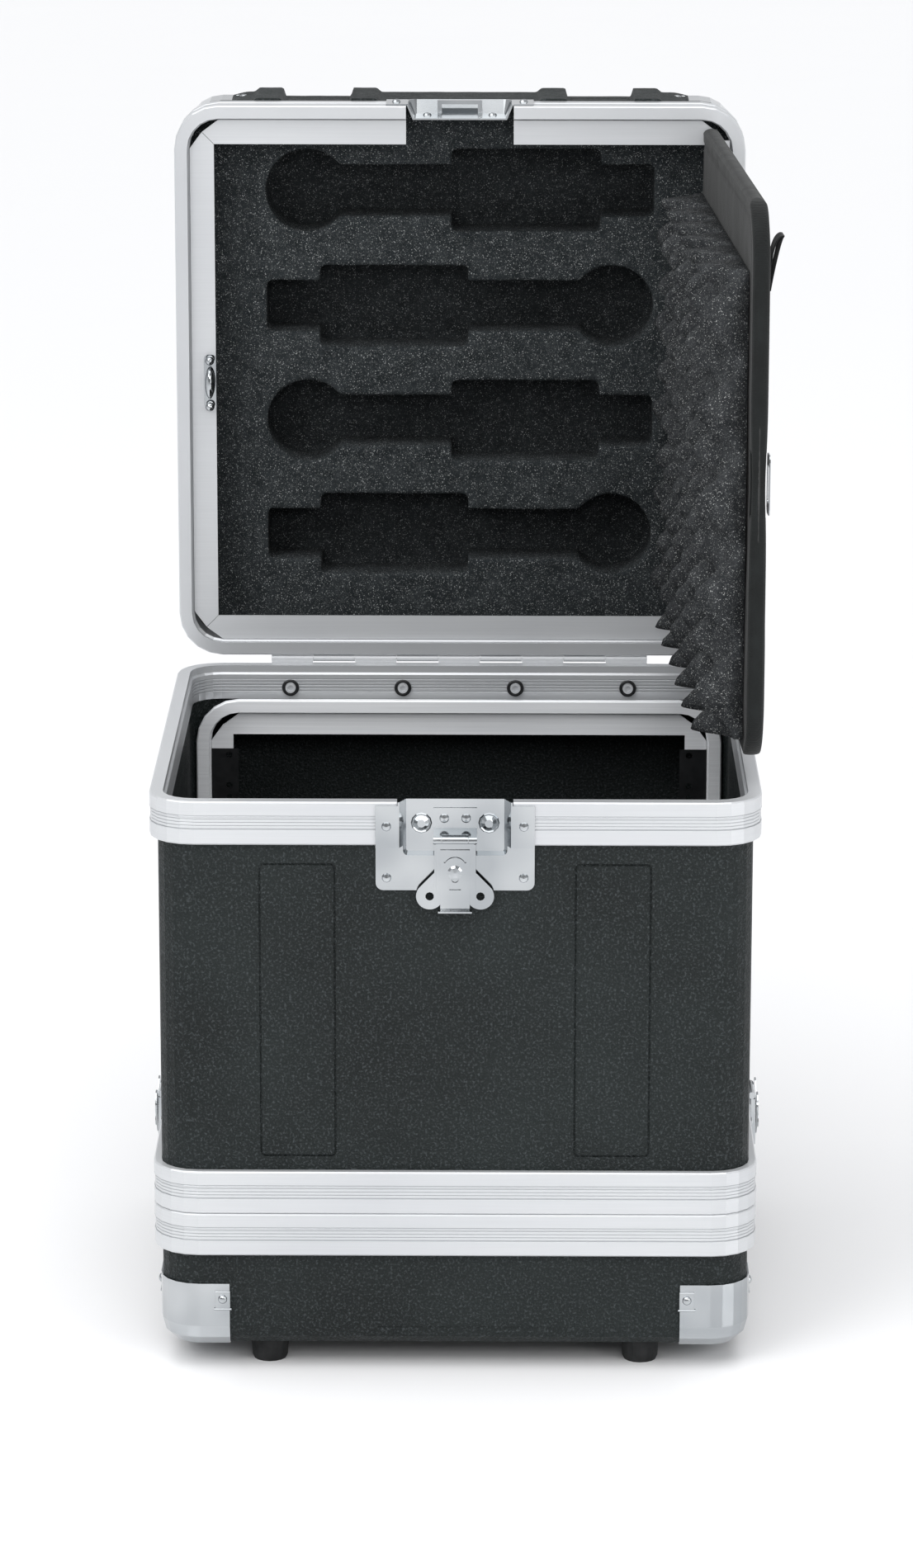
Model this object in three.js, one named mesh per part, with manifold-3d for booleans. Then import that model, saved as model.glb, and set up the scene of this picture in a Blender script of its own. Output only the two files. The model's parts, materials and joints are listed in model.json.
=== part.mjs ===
// Wireless microphone case: a moulded case with aluminium valances, a hinged microphone lid,
// a padded flap, a rack bay in the far wall and a latched bottom lid.
// Millimetres, +Z up, the viewer stands at -Y.
import * as THREE from "three";
import { mergeVertices } from "three/addons/utils/BufferGeometryUtils.js";
import Module from "manifold-3d";

const wasm = await Module();
wasm.setup();

// Driving sizes of the case
const caseWidth = 565;
const caseDepth = 556;
const bodyHeight = 397.5;
const topLidHeight = 151;
const bottomLidHeight = 135;
const footHeight = 22;
const footRadius = 18;
const footInset = 46;
const footCornerGap = 18;
const footSoleShare = 0.86;
const footRimShare = 0.92;
const footRimHeightShare = 0.12;
const wallThickness = 4;
const moldedEdgeRadius = 22;
const fitGap = 0.3;
const cutOverrun = 2;

// Valance extrusion, the aluminium edge of every opening
const valanceHeight = 41;
const valanceOverhang = 7.5;
const valanceCornerRadius = 43;
const valanceInnerLegHeight = 34;
const valanceInnerLegThickness = 2.8;
const valanceWebThickness = 3;
const valanceEdgeBreak = 1.2;
const valanceBandDepth = 0.7;
const valanceBandHeight = 12;
const valanceLipStep = 2;
const valanceLipHeight = 7;

// Flat mitred trim strips inside a valance
const stripWidth = 24;
const stripThickness = 2;
const stripRecess = 8;
const stripCornerCut = 12;

// Moulded wall panels
const panelWidth = 71;
const panelSpacing = 291;
const panelGrooveWidth = 2;
const panelGrooveDepth = 1.4;
const panelCornerRadius = 5;
const panelTopMargin = 60;
const panelHeight = 283;
const lidPanelMargin = 20;

// Top lid hinge
const hingePinOut = 4;
const hingePinUp = 4;
const hingePinRadius = 1.2;
const hingeKnuckleRadius = 3.1;
const hingeLength = 380;
const hingeKnuckles = 9;
const hingeLeafThickness = 1.4;
const hingeLeafHeight = 34;
const hingeBoltDrop = 22;
const hingeBoltEndMargin = 19.75;
const hingeBoltCount = 4;
const hingeBoltSpacing = (hingeLength - 2 * hingeBoltEndMargin) / (hingeBoltCount - 1);
const hingeBoltRadius = 3;
const hingeBoltHeadRadius = 5;
const hingeBoltHeadHeight = 3.2;
const hingeWasherRadius = 7.5;
const hingeWasherThickness = 1.5;

// Rack bay: a shallow moulded tub through the far wall, four rack units high
const rackRingWidth = 530;
const rackRingHeight = 282;
const rackRingSkirt = 8;
const rackRingDrop = 31.5;
const rackRingStandIn = 33;
const rackBayBeyond = 67;
const rackUnitHeight = 44.45;
const rackUnitCount = 4;
const rackHoleSpacing = 465.1;
const rackHoleOffset = 6.35;
const rackHoleRadius = 3.5;
const rackRailWidth = 27;
const rackRailThickness = 2;
const rackRailDepth = 30;
const rackStripWidth = 22;

// Ball corners of the lids
const cornerSpan = 64;
const cornerThickness = 1.6;

// Microphone foam
const foamRecess = 55;
const pocketPitch = 117;
const pocketCount = 4;
const pocketShift = 11;
const pocketDepth = 55;
const micHeadRadius = 41;
const micNeckWidth = 51;
const micGripWidth = 82;
const micNeckLength = 145;
const micGripLength = 148;
const micTailLength = 54;

// Padded flap
const flapBeyondButton = 11;
const flapUpperMargin = 22;
const flapOpenDegrees = 93;
const flapThickness = 4;
const flapCornerRadius = 40;
const flapHingeInset = 27;
const flapLowerMargin = 26;
const flapClearance = 2.8;
const crateBacking = 8;
const cratePeak = 38.5;
const crateColumns = 6;
const crateRows = 5;
const crateSteps = 4;
const crateRootMargin = 14;
const crateFreeMargin = 24;
const crateLowerMargin = 16;
const crateUpperMargin = 62;
const pullTabLength = 60;
const pullTabWidth = 22;
const pullTabThickness = 2;
const pullTabRoundShare = 0.45;
const pullTabInset = 38;
const pullTabDrop = 53;
const flapHingeStripWidth = 9;
const flapHingeStripMargin = 12;

// Turn button that holds the flap
const buttonPlateLength = 56;
const buttonPlateWidth = 12;
const buttonPlateThickness = 1.2;
const buttonRivetHeight = 1.6;
const buttonPostRadius = 4;
const buttonPostHeight = 8;
const buttonTurnLength = 30;
const buttonTurnWidth = 9;
const buttonTurnHeight = 5;
const buttonRoundShare = 0.45;
const buttonInset = 33;
const eyeletLength = 56;
const eyeletWidth = 24;
const eyeletThickness = 1;
const eyeletSlack = 2;

// Butterfly latch
const latchPlateWidth = 146;
const latchPlateHeight = 85;
const latchPlateThickness = 1.5;
const latchPlateRadius = 7;
const latchDishWidth = 106;
const latchDishHeight = 57;
const latchDishDepth = 12;
const latchDishRadius = 10;
const latchDishDraft = 5;
const latchTabMargin = 3;
const latchStudRadius = 10;
const latchStudDomeRadius = 7.5;
const latchStudHeight = 3.5;
const latchStudSpacing = 62;
const latchStudDrop = 22.5;
const latchBracketWidth = 40;
const latchBracketTop = 8;
const latchBarrelDrop = 34.5;
const latchBarrelOut = 5.5;
const latchBarrelRadius = 3.5;
const latchPinRadius = 1.6;
const latchSheet = 1.5;
const latchArmWidth = 38;
const latchArmLength = 50;
const latchArmFlange = 3;
const latchHookWidth = 27;
const latchHookLipWidth = 31;
const latchHookReach = 63.5;
const latchHookTravel = 3;
const latchLipDepth = 6;
const latchCrescentShare = 0.45;
const latchWindowShare = 0.2;
const latchWindowTopShare = 0.36;
const latchLayerGap = 0.3;
const latchWingPivotDrop = 31;
const latchWingReach = 33;
const latchWingLobeRadius = 12.5;
const latchWingHoleRadius = 4;
const latchWingHubRadius = 13;
const latchRivetRadius = 7;
const latchRivetHeight = 1.6;
const keeperBarSlack = 1;
const keeperBarHeight = 4;
const keeperWidth = 36;
const keeperOut = 2.8;
const keeperDishHeight = 44;

// Ball rivets
const rivetRadius = 4.8;
const rivetHeight = 3;
const rivetShoulderShare = 0.72;
const rivetSides = 10;
const pinSides = 8;

// Facet counts
const cornerSteps = 5;
const edgeSteps = 3;
const roundSides = 16;

// Levels and planes that follow from the sizes
const seamZ = footHeight + bottomLidHeight;
const rimZ = seamZ + bodyHeight;
const frontY = -caseDepth / 2;
const backY = caseDepth / 2;
const sideX = caseWidth / 2;
const wallInset = valanceOverhang + wallThickness;
const legOuterInset = wallInset + fitGap;
const legInnerInset = legOuterInset + valanceInnerLegThickness;
const shellWidth = caseWidth - 2 * valanceOverhang;
const shellDepth = caseDepth - 2 * valanceOverhang;
const shellCornerRadius = valanceCornerRadius - valanceOverhang;
const shellRimDrop = valanceWebThickness + fitGap;
const hingePinY = backY + hingePinOut;
const hingePinZ = rimZ + hingePinUp;
const halfTurn = Math.PI;
const quarterTurn = Math.PI / 2;

const assembly = new THREE.Group();

// Finishes
const finishes = {
  shell: { color: 0x2b3033, roughness: 0.62, metalness: 0 },
  aluminium: { color: 0xd9dbdc, roughness: 0.32, metalness: 0.9 },
  chrome: { color: 0xcfd2d4, roughness: 0.2, metalness: 1 },
  steel: { color: 0x1b1c1e, roughness: 0.5, metalness: 0.3 },
  foam: { color: 0x34383a, roughness: 0.95, metalness: 0 },
  crate: { color: 0x45484b, roughness: 0.95, metalness: 0 },
  fabric: { color: 0x24282a, roughness: 0.9, metalness: 0 },
  rubber: { color: 0x151617, roughness: 0.8, metalness: 0 },
};

function addPiece(group, name, geometry, finish) {
  const piece = new THREE.Mesh(geometry, new THREE.MeshStandardMaterial(finishes[finish]));
  piece.name = name;
  group.add(piece);
  return piece;
}

// Solids for boolean work, and back to a mesh geometry
function solidOf(geometry) {
  const bare = geometry.clone();
  bare.deleteAttribute("normal");
  bare.deleteAttribute("uv");
  const merged = mergeVertices(bare);
  const vertProperties = new Float32Array(merged.attributes.position.array);
  const triVerts = new Uint32Array(merged.index.array);
  return new wasm.Manifold(new wasm.Mesh({ numProp: 3, vertProperties, triVerts }));
}

function geometryOf(solid) {
  const mesh = solid.getMesh();
  const geometry = new THREE.BufferGeometry();
  geometry.setAttribute("position", new THREE.BufferAttribute(mesh.vertProperties, 3));
  geometry.setIndex(new THREE.BufferAttribute(mesh.triVerts, 1));
  geometry.computeVertexNormals();
  return geometry;
}

function combine(base, added, removed = []) {
  let solid = solidOf(base);
  for (const extra of added) solid = solid.add(solidOf(extra));
  for (const cutter of removed) solid = solid.subtract(solidOf(cutter));
  return geometryOf(solid);
}

// A box given by its lowest and highest corners
function block(low, high) {
  const size = high.map((value, axis) => value - low[axis]);
  const middle = high.map((value, axis) => (value + low[axis]) / 2);
  return new THREE.BoxGeometry(...size).translate(...middle);
}

// One level of a rounded rectangle, as points in the XY plane at height z
function roundedRing(width, depth, radius, z) {
  const points = [];
  const corners = [[1, 1], [-1, 1], [-1, -1], [1, -1]];
  corners.forEach(([signX, signY], index) => {
    const centreX = signX * (width / 2 - radius);
    const centreY = signY * (depth / 2 - radius);
    for (let step = 0; step <= cornerSteps; step += 1) {
      const angle = (index + step / cornerSteps) * quarterTurn;
      points.push([centreX + radius * Math.cos(angle), centreY + radius * Math.sin(angle), z]);
    }
  });
  return points;
}

// Skins a row of equal rings. An open row is capped at both ends, a closed row joins up.
function loft(rings, closed = false) {
  const count = rings[0].length;
  const positions = rings.flat(2);
  const indices = [];
  const spans = closed ? rings.length : rings.length - 1;
  for (let row = 0; row < spans; row += 1) {
    const next = (row + 1) % rings.length;
    for (let column = 0; column < count; column += 1) {
      const after = (column + 1) % count;
      const [a, b] = [row * count + column, row * count + after];
      const [c, d] = [next * count + column, next * count + after];
      indices.push(a, b, d, a, d, c);
    }
  }
  if (!closed) {
    const last = (rings.length - 1) * count;
    for (let column = 1; column < count - 1; column += 1) {
      indices.push(0, column + 1, column);
      indices.push(last, last + column, last + column + 1);
    }
  }
  const geometry = new THREE.BufferGeometry();
  geometry.setAttribute("position", new THREE.Float32BufferAttribute(positions, 3));
  geometry.setIndex(indices);
  geometry.computeVertexNormals();
  return geometry;
}

// The valance section: inset from the outer face, and depth below the mating plane
function valanceSection(skirtHeight, legHeight, banded) {
  const skirt = valanceOverhang - fitGap;
  const edge = valanceEdgeBreak;
  const bandTop = (skirtHeight - valanceBandHeight) / 2;
  const bandBottom = bandTop + valanceBandHeight;
  const band = valanceBandDepth;
  const groove = banded
    ? [[0, bandTop], [band, bandTop + band], [band, bandBottom - band], [0, bandBottom]] : [];
  return [
    [edge, 0], [0, edge], ...groove, [0, skirtHeight - edge], [edge, skirtHeight], [skirt, skirtHeight],
    [skirt, valanceWebThickness], [legOuterInset, valanceWebThickness], [legOuterInset, legHeight],
    [legInnerInset, legHeight], [legInnerInset, valanceLipHeight + valanceLipStep],
    [legInnerInset - valanceLipStep, valanceLipHeight], [legInnerInset - valanceLipStep, 0],
  ];
}

// A valance around a rounded rectangle, mating plane at z = 0, facing up
function valance(width, depth, skirtHeight = valanceHeight, banded = true) {
  const section = valanceSection(skirtHeight, valanceInnerLegHeight, banded).reverse();
  const rings = section.map(([inset, drop]) =>
    roundedRing(width - 2 * inset, depth - 2 * inset, valanceCornerRadius - inset, -drop));
  return loft(rings, true);
}

// Rings of a moulded wall that turns into a floor with a rounded edge; height runs down from z = 0
function turnedEdge(width, depth, cornerRadius, floorDepth, edgeRadius, inset) {
  const rings = [];
  for (let step = 0; step <= edgeSteps; step += 1) {
    const angle = (step / edgeSteps) * quarterTurn;
    const pull = inset + edgeRadius * (1 - Math.cos(angle));
    const drop = floorDepth - edgeRadius * (1 - Math.sin(angle));
    const radius = cornerRadius - pull;
    rings.push(roundedRing(width - 2 * pull, depth - 2 * pull, radius, -drop));
  }
  return rings;
}

// A moulded tub, open at the top at z = 0
function mouldedTub(width, depth, cornerRadius, rimDrop, floorDepth) {
  const outer = turnedEdge(width, depth, cornerRadius, floorDepth, moldedEdgeRadius, 0);
  const innerEdge = moldedEdgeRadius - wallThickness;
  const inner = turnedEdge(width, depth, cornerRadius, floorDepth - wallThickness, innerEdge,
    wallThickness);
  const hollow = 2 * wallThickness;
  const rim = [
    roundedRing(width, depth, cornerRadius, -rimDrop),
    roundedRing(width - hollow, depth - hollow, cornerRadius - wallThickness, -rimDrop),
  ];
  return loft([...outer.reverse(), ...rim, ...inner]);
}

// A tub's outline grown by a margin and filled, to cut pieces that follow its outside
function filledTub(width, depth, cornerRadius, rimDrop, floorDepth, margin) {
  const grown = turnedEdge(width + 2 * margin, depth + 2 * margin, cornerRadius + margin,
    floorDepth + margin, moldedEdgeRadius + margin, 0);
  const top = roundedRing(width + 2 * margin, depth + 2 * margin, cornerRadius + margin, -rimDrop);
  return loft([...grown.reverse(), top]);
}

// A flat plate with rounded corners in the XY plane, from z = 0 up
function roundedPlate(width, height, radius, thickness, holes = []) {
  const shape = roundedOutline(new THREE.Shape(), width, height, radius);
  shape.holes.push(...holes);
  const settings = { depth: thickness, bevelEnabled: false, curveSegments: 3 };
  return new THREE.ExtrudeGeometry(shape, settings);
}

function roundedOutline(path, width, height, radius) {
  const [x, y] = [width / 2, height / 2];
  path.moveTo(x, -y + radius);
  path.lineTo(x, y - radius);
  path.absarc(x - radius, y - radius, radius, 0, quarterTurn);
  path.lineTo(-x + radius, y);
  path.absarc(-x + radius, y - radius, radius, quarterTurn, halfTurn);
  path.lineTo(-x, -y + radius);
  path.absarc(-x + radius, -y + radius, radius, halfTurn, halfTurn + quarterTurn);
  path.lineTo(x - radius, -y);
  path.absarc(x - radius, -y + radius, radius, halfTurn + quarterTurn, 2 * halfTurn);
  return path;
}

// An upright rod along Z from z = 0, and one along X centred on the origin
function rod(radius, length, sides = roundSides) {
  return new THREE.CylinderGeometry(radius, radius, length, sides)
    .rotateX(quarterTurn).translate(0, 0, length / 2);
}

function crossRod(radius, length, sides = roundSides) {
  return new THREE.CylinderGeometry(radius, radius, length, sides).rotateZ(quarterTurn);
}

// A domed rivet head standing on z = 0
function rivetHead(radius = rivetRadius, height = rivetHeight) {
  const profile = [[0, 0], [radius, 0], [radius * rivetShoulderShare, height * rivetShoulderShare], [0, height]];
  const points = profile.map(([x, y]) => new THREE.Vector2(x, y));
  return new THREE.LatheGeometry(points, rivetSides).rotateX(quarterTurn);
}

// Turns a geometry drawn in XY, facing +Z, so that it faces the viewer at -Y, with Y turned to Z
function faceViewer(geometry) {
  return geometry.rotateX(quarterTurn);
}

// The groove around a moulded panel, as a ring that cuts into a wall facing -Y at y = 0
function panelGroove(width, height) {
  const inner = roundedOutline(new THREE.Path(), width - 2 * panelGrooveWidth,
    height - 2 * panelGrooveWidth, panelCornerRadius - panelGrooveWidth);
  const depth = panelGrooveDepth + cutOverrun;
  return faceViewer(roundedPlate(width, height, panelCornerRadius, depth, [inner]))
    .translate(0, panelGrooveDepth, 0);
}

// Panel grooves for each wall that has them: two a wall, at the given middle height
function wallPanels(height, middleZ, walls) {
  const cutters = [];
  for (const wall of walls) {
    const alongX = wall === "front" || wall === "back";
    const reach = (alongX ? shellDepth : shellWidth) / 2;
    const turn = { front: 0, right: 1, back: 2, left: 3 }[wall] * quarterTurn;
    for (const side of [-1, 1]) {
      cutters.push(panelGroove(panelWidth, height)
        .translate(side * panelSpacing / 2, -reach, middleZ).rotateZ(turn));
    }
  }
  return cutters;
}

// The space that the rack bay tub takes where it passes through the far wall
const bayWidth = rackRingWidth - 2 * valanceOverhang;
const bayHeight = rackRingHeight - 2 * valanceOverhang;
const bayMiddleZ = rimZ - rackRingDrop - rackRingHeight / 2;
const bayFrontY = backY - rackRingStandIn;
const bayDepth = rackRingStandIn + rackBayBeyond;

function bayPassage() {
  const margin = 2 * fitGap;
  const outline = roundedRing(bayWidth + margin, bayHeight + margin, shellCornerRadius + fitGap, 0);
  const far = outline.map(([x, y]) => [x, y, bayDepth]);
  return faceViewer(loft([outline, far])).translate(0, backY + bayDepth / 2, bayMiddleZ);
}

// The space that a latch dish takes in a wall and its valance, at the front of a mating plane.
// Its height is counted from the mating plane, down for a body and up for a lid.
function dishPassage(low, high) {
  const half = latchDishWidth / 2 + fitGap;
  const depth = latchDishDepth + latchPlateThickness + fitGap;
  const inner = Math.max(depth, legInnerInset + cutOverrun);
  return block([-half, -cutOverrun, low], [half, inner, high]);
}

function bodyShell() {
  const outerRing = (z) => roundedRing(shellWidth, shellDepth, shellCornerRadius, z);
  const hollow = 2 * wallThickness;
  const innerRing = (z) => roundedRing(shellWidth - hollow, shellDepth - hollow,
    shellCornerRadius - wallThickness, z);
  const [low, high] = [seamZ + fitGap + shellRimDrop, rimZ - shellRimDrop];
  const walls = loft([outerRing(low), outerRing(high), innerRing(high), innerRing(low)], true);
  const panelZ = rimZ - panelTopMargin - panelHeight / 2;
  const grooves = wallPanels(panelHeight, panelZ, ["front", "left", "right"]);
  const frontDish = dishPassage(-latchDishHeight - fitGap, cutOverrun).translate(0, frontY, rimZ);
  const cutters = [bayPassage(), frontDish, ...grooves, ...boltHoles(rimZ - hingeBoltDrop)];
  for (const side of [-1, 1]) {
    cutters.push(sideways(dishPassage(-cutOverrun, latchDishHeight + fitGap), side)
      .translate(0, 0, seamZ));
  }
  return combine(walls, [], cutters);
}

// Turns what faces the viewer at y = 0 so that it faces out at the left or right wall
function sideways(geometry, side) {
  return geometry.rotateZ(side * quarterTurn).translate(side * sideX, 0, 0);
}

// Bolts that hold the hinge to the back of the body, one place each
function hingeBoltPlaces() {
  const first = -hingeBoltSpacing * (hingeBoltCount - 1) / 2;
  return Array.from({ length: hingeBoltCount }, (_, index) => first + index * hingeBoltSpacing);
}

function boltHoles(z) {
  const length = legInnerInset + 2 * cutOverrun;
  return hingeBoltPlaces().map((x) => rod(hingeBoltRadius + 2 * fitGap, length, rivetSides)
    .rotateX(quarterTurn).translate(x, backY + cutOverrun, z));
}

function bodyTopValance() {
  const ring = valance(caseWidth, caseDepth).translate(0, 0, rimZ);
  const frontDish = dishPassage(-latchDishHeight, cutOverrun).translate(0, frontY, rimZ);
  return combine(ring, [], [frontDish, bayPassage(), ...boltHoles(rimZ - hingeBoltDrop)]);
}

// A valance cut in two by the side latches: its front and back lengths
function valanceLengths(ring, dishes) {
  const cut = solidOf(combine(ring, [], dishes));
  const lengths = cut.decompose().map((length) => geometryOf(length));
  const middleY = (geometry) => {
    geometry.computeBoundingBox();
    return geometry.boundingBox.getCenter(new THREE.Vector3()).y;
  };
  return lengths.sort((one, other) => middleY(one) - middleY(other));
}

function bodyBottomValance() {
  const ring = valance(caseWidth, caseDepth).rotateX(halfTurn).translate(0, 0, seamZ + fitGap);
  return valanceLengths(ring, [-1, 1].map((side) =>
    sideways(dishPassage(-cutOverrun, latchDishHeight), side).translate(0, 0, seamZ)));
}

// One bolt through the back valance: socket head and washer inside, nut outside
function hingeBolt() {
  const innerFace = -legInnerInset - fitGap;
  const washer = rod(hingeWasherRadius, hingeWasherThickness)
    .translate(0, 0, -innerFace);
  const head = rod(hingeBoltHeadRadius, hingeBoltHeadHeight)
    .translate(0, 0, -innerFace + hingeWasherThickness);
  const shank = rod(hingeBoltRadius, -innerFace + hingeLeafThickness + 2 * fitGap + cutOverrun,
    rivetSides).translate(0, 0, -hingeLeafThickness - 2 * fitGap - cutOverrun / 2);
  const nut = rod(hingeBoltHeadRadius, hingeBoltHeadHeight, 6)
    .translate(0, 0, -hingeLeafThickness - hingeBoltHeadHeight);
  const socket = rod(hingeBoltRadius, hingeBoltHeadHeight, 6)
    .translate(0, 0, -innerFace + hingeWasherThickness + hingeBoltHeadHeight / 2);
  return combine(washer, [head, shank, nut], [socket]).rotateX(quarterTurn);
}

function hingeBolts() {
  return hingeBoltPlaces().map((x) => hingeBolt().translate(x, backY, rimZ - hingeBoltDrop));
}

// Half of the piano hinge, pin at the origin: its leaf hangs down at -Y and every second
// knuckle belongs to it
function hingeHalf(parity) {
  const pitch = hingeLength / hingeKnuckles;
  const leafOuter = -hingePinOut + fitGap;
  const leaf = block([-hingeLength / 2, leafOuter, -hingePinUp - hingeLeafHeight],
    [hingeLength / 2, leafOuter + hingeLeafThickness, -hingePinUp]);
  const pieces = [];
  const bores = [];
  for (let index = 0; index < hingeKnuckles; index += 1) {
    const middle = -hingeLength / 2 + (index + 0.5) * pitch;
    const half = pitch / 2;
    if (index % 2 === parity) {
      pieces.push(crossRod(hingeKnuckleRadius, pitch - fitGap).translate(middle, 0, 0));
      pieces.push(block([middle - pitch / 2 + fitGap, leafOuter, -hingePinUp - hingeKnuckleRadius],
        [middle + pitch / 2 - fitGap, leafOuter + hingeLeafThickness, 0]));
    } else {
      bores.push(block([middle - half, leafOuter - fitGap, -hingeKnuckleRadius - fitGap],
        [middle + half, hingeKnuckleRadius, hingeKnuckleRadius]));
    }
  }
  if (parity === 0) {
    return combine(combine(leaf, pieces, bores), [crossRod(hingePinRadius, hingeLength, pinSides)]);
  }
  bores.push(crossRod(hingePinRadius + fitGap, hingeLength + cutOverrun, pinSides));
  return combine(leaf, pieces, bores);
}

// A flat trim strip along the -Y side of a valance frame, top face at z = 0. An end is mitred
// into its neighbour, or cut square at a given x.
function trimStrip(frameWidth, frameDepth, width, leftCut = null, rightCut = null, gap = fitGap) {
  const outerX = frameWidth / 2 - legInnerInset - fitGap;
  const outerY = -frameDepth / 2 + legInnerInset + fitGap;
  const cornerRun = valanceCornerRadius - legInnerInset;
  const mitred = (sign) => [
    [sign * (outerX - cornerRun), outerY],
    [sign * (outerX - stripCornerCut - gap), outerY + stripCornerCut],
    [sign * (outerX - width - gap), outerY + width],
  ];
  const square = (x) => [[x, outerY], [x, outerY + width]];
  const right = rightCut === null ? mitred(1) : square(rightCut);
  const left = leftCut === null ? mitred(-1) : square(leftCut);
  const points = [...right, ...left.reverse()].map(([x, y]) => new THREE.Vector2(x, y));
  const settings = { depth: stripThickness, bevelEnabled: false };
  return new THREE.ExtrudeGeometry(new THREE.Shape(points), settings)
    .translate(0, 0, -stripThickness);
}

// Rack bay: a moulded tub whose rim faces the viewer, with its own valance, trim and rails
function rackBay(body) {
  const place = (geometry, depth = 0) =>
    faceViewer(geometry).translate(0, bayFrontY + depth, bayMiddleZ);
  const tub = mouldedTub(bayWidth, bayHeight, shellCornerRadius, shellRimDrop, bayDepth);
  addPiece(body, "rack_bay_shell", place(tub), "shell");
  addPiece(body, "rack_ring", place(valance(rackRingWidth, rackRingHeight, rackRingSkirt, false)),
    "aluminium");

  const halfRail = rackUnitHeight * rackUnitCount / 2 + fitGap;
  const sides = (turn, left, right) =>
    trimStrip(rackRingHeight, rackRingWidth, rackStripWidth, left, right, -fitGap).rotateZ(turn);
  const strip = trimStrip(rackRingWidth, rackRingHeight, rackStripWidth);
  const lower = combine(strip, [sides(quarterTurn, null, -halfRail),
    sides(-quarterTurn, halfRail, null)]);
  const upper = lower.clone().rotateZ(halfTurn);
  addPiece(body, "rack_trim_bottom", place(lower, stripRecess), "aluminium");
  addPiece(body, "rack_trim_top", place(upper, stripRecess), "aluminium");
  for (const [name, side] of [["rack_rail_left", -1], ["rack_rail_right", 1]]) {
    addPiece(body, name, place(rackRail(side), stripRecess), "steel");
  }
}

// An L-shaped rack rail with a hole at the top and bottom of every rack unit
function rackRail(side) {
  const half = (rackUnitHeight * rackUnitCount) / 2;
  const outer = rackRingWidth / 2 - legInnerInset - fitGap;
  const face = block([outer - rackRailWidth, -half, -rackRailThickness], [outer, half, 0]);
  const leg = block([outer - rackRailThickness, -half, -rackRailDepth], [outer, half, 0]);
  const holes = [];
  for (let unit = 0; unit < rackUnitCount; unit += 1) {
    for (const y of [rackHoleOffset, rackUnitHeight - rackHoleOffset]) {
      holes.push(rod(rackHoleRadius, rackRailThickness + 2 * cutOverrun, 8)
        .translate(rackHoleSpacing / 2, -half + unit * rackUnitHeight + y,
          -rackRailThickness - cutOverrun));
    }
  }
  const rail = combine(face, [leg], holes);
  return side > 0 ? rail : rail.rotateZ(halfTurn);
}

// A butterfly latch base in the wall below a mating plane at z = 0, outer valance face at y = 0.
// The pan of the dish is open towards the mating plane.
function dishPan(height) {
  const rings = [];
  const level = (grow, z) => roundedRing(latchDishWidth + 2 * grow, 2 * height + 2 * grow,
    latchDishRadius + grow, z);
  const sheet = latchPlateThickness;
  const floor = -latchDishDepth;
  rings.push(level(-latchDishDraft - sheet, floor - sheet));
  rings.push(level(-fitGap, sheet));
  rings.push(level(-sheet - fitGap, sheet));
  rings.push(level(-latchDishDraft - 2 * sheet, floor));
  return faceViewer(loft(rings));
}

function latchPlate() {
  const sheet = latchPlateThickness;
  const lowFace = valanceOverhang - fitGap;
  const tabWidth = (latchPlateWidth - latchDishWidth) / 2;
  const tabEnd = -valanceHeight - fitGap;
  const pan = dishPan(latchDishHeight);
  const flange = faceViewer(roundedPlate(latchPlateWidth, 2 * latchPlateHeight,
    latchPlateRadius, sheet)).translate(0, lowFace, 0);
  const parts = [];
  for (const side of [-1, 1]) {
    const reach = [side * (latchPlateWidth / 2 - tabWidth - sheet), side * latchPlateWidth / 2];
    const span = [Math.min(...reach), Math.max(...reach)];
    parts.push(block([span[0], -fitGap - sheet, tabEnd - sheet], [span[1], -fitGap, -latchTabMargin]));
    parts.push(block([span[0], -fitGap - sheet, tabEnd - sheet], [span[1], lowFace, tabEnd]));
  }
  const above = block([-latchPlateWidth, -latchDishDepth, tabEnd - sheet / 2],
    [latchPlateWidth, 2 * latchDishDepth, 2 * latchPlateHeight]);
  const lower = combine(flange, [], [above, dishFill(latchDishHeight)]);
  const aboveMating = block([-latchPlateWidth, -latchDishDepth, fitGap],
    [latchPlateWidth, 2 * latchDishDepth, 2 * latchPlateHeight]);
  const proud = block([-latchPlateWidth, -latchDishDepth, -2 * latchPlateHeight],
    [latchPlateWidth, lowFace - sheet, tabEnd - sheet]);
  const openPan = combine(pan, [], [aboveMating, proud]);
  return combine(openPan, [lower, ...parts, ...plateRivets()]);
}

// The hollow of the dish, filled
function dishFill(height) {
  const level = (grow, z) => roundedRing(latchDishWidth + 2 * grow, 2 * height + 2 * grow,
    latchDishRadius + grow, z);
  const sheet = latchPlateThickness;
  return faceViewer(loft([level(-latchDishDraft - 2 * sheet, -latchDishDepth),
    level(-sheet - fitGap, sheet), level(-sheet - fitGap, 2 * latchDishDepth)]));
}

// Layers of a hanging latch arm, counted from its face towards the wall (y) outwards
const barrelY = -latchBarrelOut;
const barrelZ = -latchBarrelDrop;
const armBackY = barrelY + latchBarrelRadius + latchLayerGap;
const armFrontY = armBackY - latchSheet;
const hookBackY = armFrontY - latchLayerGap;
const hookFrontY = hookBackY - latchSheet;
const wingFrontY = armBackY + latchLayerGap;
const wingBackY = wingFrontY + latchSheet;
const wingPivotZ = barrelZ - latchWingPivotDrop;
const armKnuckleWidth = latchArmWidth - 4 * latchBarrelRadius;

// A sheet profile drawn in the YZ plane and drawn out along X, centred
function foldedSheet(points, width) {
  const shape = new THREE.Shape(points.map(([y, z]) => new THREE.Vector2(y, z)));
  const settings = { depth: width, bevelEnabled: false };
  return new THREE.ExtrudeGeometry(shape, settings).translate(0, 0, -width / 2)
    .rotateY(quarterTurn).rotateX(quarterTurn);
}

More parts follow.
